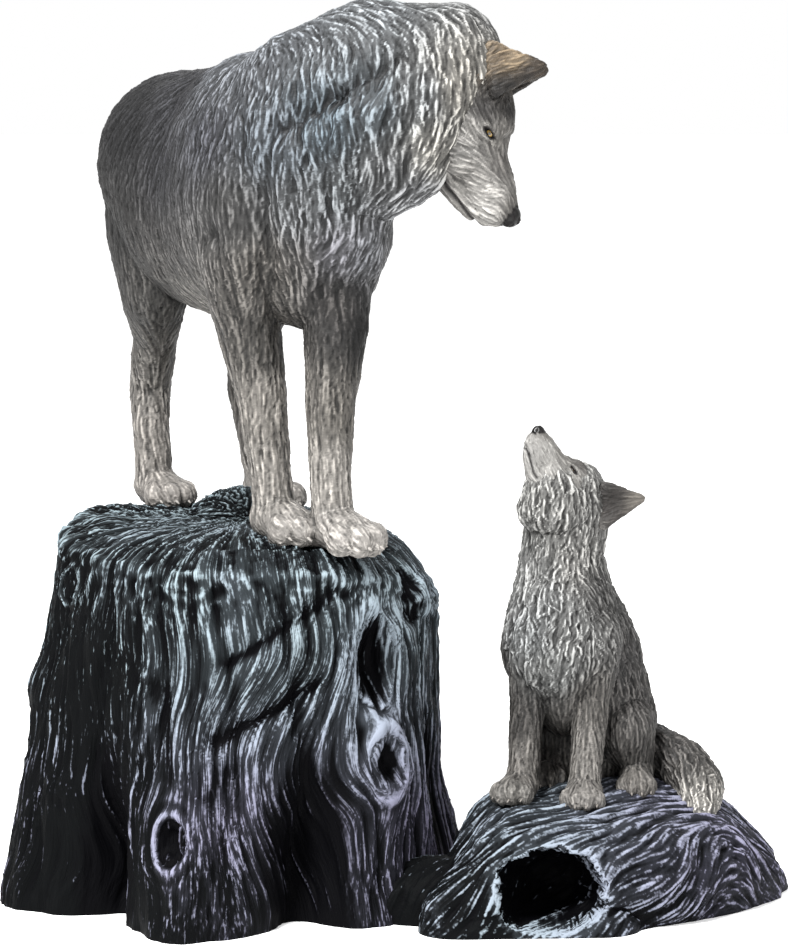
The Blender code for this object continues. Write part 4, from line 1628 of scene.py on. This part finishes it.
        # On the top the grain runs outwards to the rim
        over = smooth(z, self.height - 12, self.height - 2) * (reach < 50)
        radial = np.where(over > 0.5, reach, self.STRAIGHT_RADIUS)
        across = self.STRAIGHT_RADIUS * np.stack((np.cos(wound), np.sin(wound)), axis=1)
        place = np.column_stack((across, (z + radial) * 0.03))
        return place, np.stack((rims, rings), axis=1)

    def build(self, paint: bpy.types.Material) -> bpy.types.Object:
        """Makes the stump with its carved grain."""
        skin = self.clay().fused("stump", self.voxel, 9)
        place, knots = self.grain(skin.points)
        warp = np.stack([noise(skin.points * 0.04, seed) for seed in (1, 2, 3)], axis=1)
        bent = place + warp * (2.6, 2.6, 0.25)
        ribs = 1 - np.abs(noise(bent * (0.22, 0.22, 0.7), 5)) * 2.4
        lines = 1 - np.abs(noise(bent * (0.5, 0.5, 1.2), 6)) * 2.4
        threads = 1 - np.abs(noise(bent * (0.95, 0.95, 1.8), 8)) * 2.4
        edge = bell(skin.points[:, 2] - self.rim(self.angle(skin.points)) + 3, 7)
        crumbs = noise(skin.points * 0.45, 9) * 0.5
        crumbs += (0.6 - np.abs(noise(skin.points * 0.15, 10)) * 2.4) * 1.1
        foot = smooth(skin.points[:, 2], 0, 6)
        height = ribs * 0.95 + lines * 0.6 + threads * 0.22 + crumbs * edge
        height += knots[:, 0] + knots[:, 1] * 0.5
        skin.push(height * (0.35 + 0.65 * foot))
        skin.keep(grain=bent)
        self.store(skin, lines, knots)
        return skin.finished(paint, flat_foot=True)

    def angle(self, points: np.ndarray) -> np.ndarray:
        """The direction of each point from the stump's middle, in degrees."""
        return np.degrees(np.arctan2(points[:, 1] - self.place[1], points[:, 0] - self.place[0]))

    def shade(self, points: np.ndarray) -> np.ndarray:
        """The painted shade in the holes, the recesses between the roots and the gouges: how deep each point
        lies in them.
        """
        angle = self.angle(points)
        z = points[:, 2]
        shade = np.zeros(len(points))
        for direction, level, half_width, half_height, depth in self.DENTS:
            if depth > 5:
                far = np.hypot(turned_from(angle, direction) / half_width, (z - level) / half_height)
                spread = 1.3 if depth > 15 and level < half_height else 1.0
                shade = np.maximum(shade, 1 - smooth(far / spread, 0.75, 1.15))
        for gap, half_width, depth in self.gouges(angle, z):
            shade = np.maximum(shade, 0.3 * depth * bell(gap, half_width * 0.45))
        return shade * (z < 100)

    def store(self, skin: Skin, lines: np.ndarray, knots: np.ndarray) -> None:
        """Stores where the dry brush catches the wood, the painted shade in its holes and recesses, and its
        painted light and shade.

        Args:
            skin: The carved skin.
            lines: How near each point is to the crest of the grain.
            knots: How near each point is to a knot's rim, and the rings round it.
        """
        x, _, z = skin.points.T
        # Painted shade in the holes and recesses
        skin.keep(dark=self.shade(skin.points))
        skin.keep(ridge=evened(skin.relief(3)) + lines * 0.15, swell=evened(skin.relief(40)))
        # Painted light and shade: lighter on the right and a little higher up, darker on the left, low down
        # and just under the top. The knot rims take more of the dry brush.
        right = smooth(x, -60, 0)
        low = 1 - smooth(z, 20, 75)
        left = 1 - smooth(x, -95, -48)
        glow = 0.2 * right + 0.06 * smooth(z, 70, 108) - 0.08 * low
        glow -= 0.24 * left * (z < 106) + 0.05 + 0.1 * smooth(z, 103, 108)
        tint = np.clip(0.75 * (1 - smooth(z, 20, 85)) + 0.15 * right, 0, 1)
        skin.keep(glow=glow + 0.3 * knots[:, 0], tint=tint)


@dataclass
class FallenLog:
    """The fallen log, with a hollow end.

    Attributes:
        height: How high its crest is over the table.
        place: The middle of the log on the table.
        stump_edge: How far right the stump's side is, to which the log is tied by a root.
        voxel: The size of the skin's faces.
    """

    height: float = 31.0
    place: tuple[float, float] = (62.0, -24.0)
    stump_edge: float = 11.3
    voxel: float = 0.66

    # The middle of the hollow, from the log's place, and how wide, deep and high it is from there
    HOLLOW = (-17, -48, 12)
    HOLLOW_RADII = (15.6, 34, 12.6)

    def clay(self) -> Clay:
        """Roughs out the log. Each section is a ball at the front and one at the back."""
        clay = Clay()
        place = Matrix.Translation((*self.place, 0))
        crest = self.height - 31
        sections = (
            (((-46, -38, 1), (9, 9, 11)), ((-40, -20, 4), (8, 10, 12))),
            (((-27, -26, 12 + crest), (16, 18, 17.5)), ((-26, 6, 14 + crest), (16, 18, 20))),
            (((-8, -23, 11.5 + crest), (18, 20, 18.5)), ((-8, 16, 16 + crest), (18, 20, 20.5))),
            (((12, -16, 11 + crest), (18, 20, 18.5)), ((12, 18, 15 + crest), (18, 20, 20.5))),
            (((30, -2, 8 + crest), (16, 18, 18)), ((30, 18, 11 + crest), (16, 18, 18))),
            (((46, 12, 2), (9, 13, 12)), ((46, 26, 2), (9, 13, 12))),
        )
        for near, far in zip(sections, sections[1:]):
            clay.wrapped(near + far, place)
        clay.wrapped([((-44, -38, 0), (10, 10, 10)), ((-4, -34, -2), (14, 12, 12))], place)
        clay.wrapped([((-4, -34, -2), (12, 12, 12)), ((46, 20, -4), (10, 12, 10))], place)
        clay.limb([((36, 2, 14), (8, 12, 8)), ((48, 12, 5), (7, 10, 7)), ((54, 26, -4), (5, 8, 6))], place)
        foot = (self.stump_edge - self.place[0] - 15, -16, 2)
        clay.limb([(foot, (12, 12, 12)), ((-46, -20, 5), (10, 15, 13))], place)
        return clay

    def hollowed(self, skin: Skin) -> np.ndarray:
        """Presses the hollow end into the log.

        Args:
            skin: The log's skin.

        Returns:
            How far inside the hollow each point lies, from nought to one.
        """
        centre = np.array(self.HOLLOW) + (*self.place, 0)
        radii = np.array(self.HOLLOW_RADII)
        ragged = 1 + 0.09 * noise(skin.points * (0.2, 0.02, 0.2), 51) + 0.05 * noise(skin.points * 0.6, 52)
        at = (skin.points - centre) / radii
        at[:, 0] /= ragged
        at[:, 2] *= np.where(at[:, 2] < 0, 1.2, 1 / ragged)
        far = np.abs(at[:, 0]) ** 2.5 + np.abs(at[:, 2]) ** 2.5
        depth = np.sqrt(np.clip(1 - far, 0, None)) * radii[1]
        inside = (far < 1) & (skin.points[:, 1] < centre[1] + depth)
        skin.points[inside, 1] = centre[1] + depth[inside]
        skin.renew()
        return 1 - smooth(far, 0.7, 1.0)

    def build(self, paint: bpy.types.Material) -> bpy.types.Object:
        """Makes the log with its carved grain."""
        skin = self.clay().fused("fallen_log", self.voxel, 10)
        # Painted shade: the inside of the hollow is painted near black
        hollow = self.hollowed(skin) * (skin.points[:, 1] < 0)
        way = np.tile((0.75, 0.35, 0.7), (skin.count, 1))
        x, y, z = skin.points.T
        way[:, 2] -= 1.4 * smooth(x, 88, 106)
        lie = skin.tangent(skin.blurred(skin.tangent(way), 8))
        across = np.cross(skin.facing, lie)
        lie = unit(lie + across * noise(skin.points * 0.06, 41)[:, None] * 0.8)
        warp = noise(skin.points * 0.05, 41)
        bent = np.zeros((skin.count, 3))
        bent[:, 0] = skin.measured(across) + warp * 2.2
        bent[:, 1] = skin.measured(lie) * 0.06 + warp * 0.2
        ribs = skin.streaked(lie, 0.17, 16, 43)
        lines = skin.streaked(lie, 0.42, 9, 44)
        threads = skin.streaked(lie, 0.8, 5, 45)
        foot = smooth(z, 0, 5)
        skin.push((ribs * 0.95 + lines * 0.6 + threads * 0.25) * (0.3 + 0.7 * foot))
        skin.keep(grain=bent, lie=lie, dark=hollow)
        skin.keep(ridge=evened(skin.relief(3)) + lines * 0.15, swell=evened(skin.relief(40)))
        # Painted light and shade: lighter along the top, darker at the left end beside the stump
        left = 1 - smooth(x, 12, 22)
        glow = 0.34 * smooth(z, 10, 34) - 0.04 - 0.6 * left * (y > -58)
        tint = np.clip(0.25 + 0.5 * smooth(x, 40, 90), 0, 1)
        skin.keep(glow=glow - 0.22 * (1 - smooth(x, 28, 52)), tint=tint)
        return skin.finished(paint, flat_foot=True)


@dataclass(frozen=True)
class Studio:
    """The floor, the lights and the camera."""

    target: Triple = (-0.00133, -0.0007, 0.1256)
    distance: float = 1.2
    elevation: float = 7.0
    lens: float = 151.9

    def build(self) -> None:
        """Sets up the studio."""
        bm = bmesh.new()
        bmesh.ops.create_grid(bm, x_segments=4, y_segments=4, size=6)
        mesh = bpy.data.meshes.new("floor")
        bm.to_mesh(mesh)
        bm.free()
        floor = linked("floor", mesh)
        shop = PaintShop("studio_floor")
        shop.shader.inputs["Emission Color"].default_value = (1, 1, 1, 1)
        shop.shader.inputs["Emission Strength"].default_value = 0.22
        floor.data.materials.append(shop.finish((0.93, 0.93, 0.93), 0.9, None, 0))
        world = bpy.data.worlds.new("studio")
        bpy.context.scene.world = world
        world.use_nodes = True
        sky = world.node_tree.nodes["Background"]
        sky.inputs["Color"].default_value = (1, 1, 1, 1)
        sky.inputs["Strength"].default_value = 1.0
        for name, place, size, power in (
            ("key", (-0.5, -0.7, 1.15), 0.3, 40.0),
            ("fill", (0.95, -0.8, 0.7), 0.9, 4.0),
            ("back", (0.2, 0.9, 1.0), 0.8, 5.0),
        ):
            lamp = bpy.data.lights.new(name, "AREA")
            lamp.size = size
            lamp.energy = power
            light = linked(name, lamp)
            light.location = place
            light.rotation_euler = (Vector((0, 0, 0.12)) - light.location).to_track_quat("-Z", "Y").to_euler()
        lens = bpy.data.cameras.new("camera")
        lens.lens = self.lens
        lens.sensor_width = 36.0
        lens.sensor_fit = "AUTO"
        lens.clip_start = 0.01
        camera = linked("camera", lens)
        lift = math.radians(self.elevation)
        back = Vector((0, -math.cos(lift), math.sin(lift))) * self.distance
        camera.location = Vector(self.target) + back
        camera.rotation_euler = (math.pi / 2 - lift, 0, 0)
        bpy.context.scene.camera = camera
        bpy.context.scene.view_settings.view_transform = "Standard"


def main() -> None:
    """Builds the figurine and the studio."""
    logging.basicConfig(level=logging.INFO, format="%(message)s")
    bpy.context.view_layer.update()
    coarse = 1.0
    Studio().build()
    wood = WoodPaint("carved_wood").mixed()
    Stump(voxel=0.8 * coarse).build(wood)
    FallenLog(voxel=0.66 * coarse).build(WoodPaint("log_wood", drawn_out=True).mixed())
    wolf = GrownWolf("grown_wolf", 0.72 * coarse, 12)
    wolf.build(FurPaint("grown_wolf_coat").mixed())
    wolf.head().build(FurPaint("grown_wolf_face", brush=0.7, wash=0.6, hair=1300.0).mixed())
    wolf.claws(PlainPaint("grown_wolf_claw", "8f8b86", 0.45).mixed())
    pup = Pup("pup", 0.5 * coarse, 14)
    pup.build(FurPaint("pup_coat", brush=0.75, hair=1200.0).mixed())
    pup.head().build(FurPaint("pup_face", brush=0.5, wash=0.25, hair=1500.0).mixed())
    pup.claws(PlainPaint("pup_claw", "77726d", 0.45).mixed())


if __name__ == "__main__":
    main()
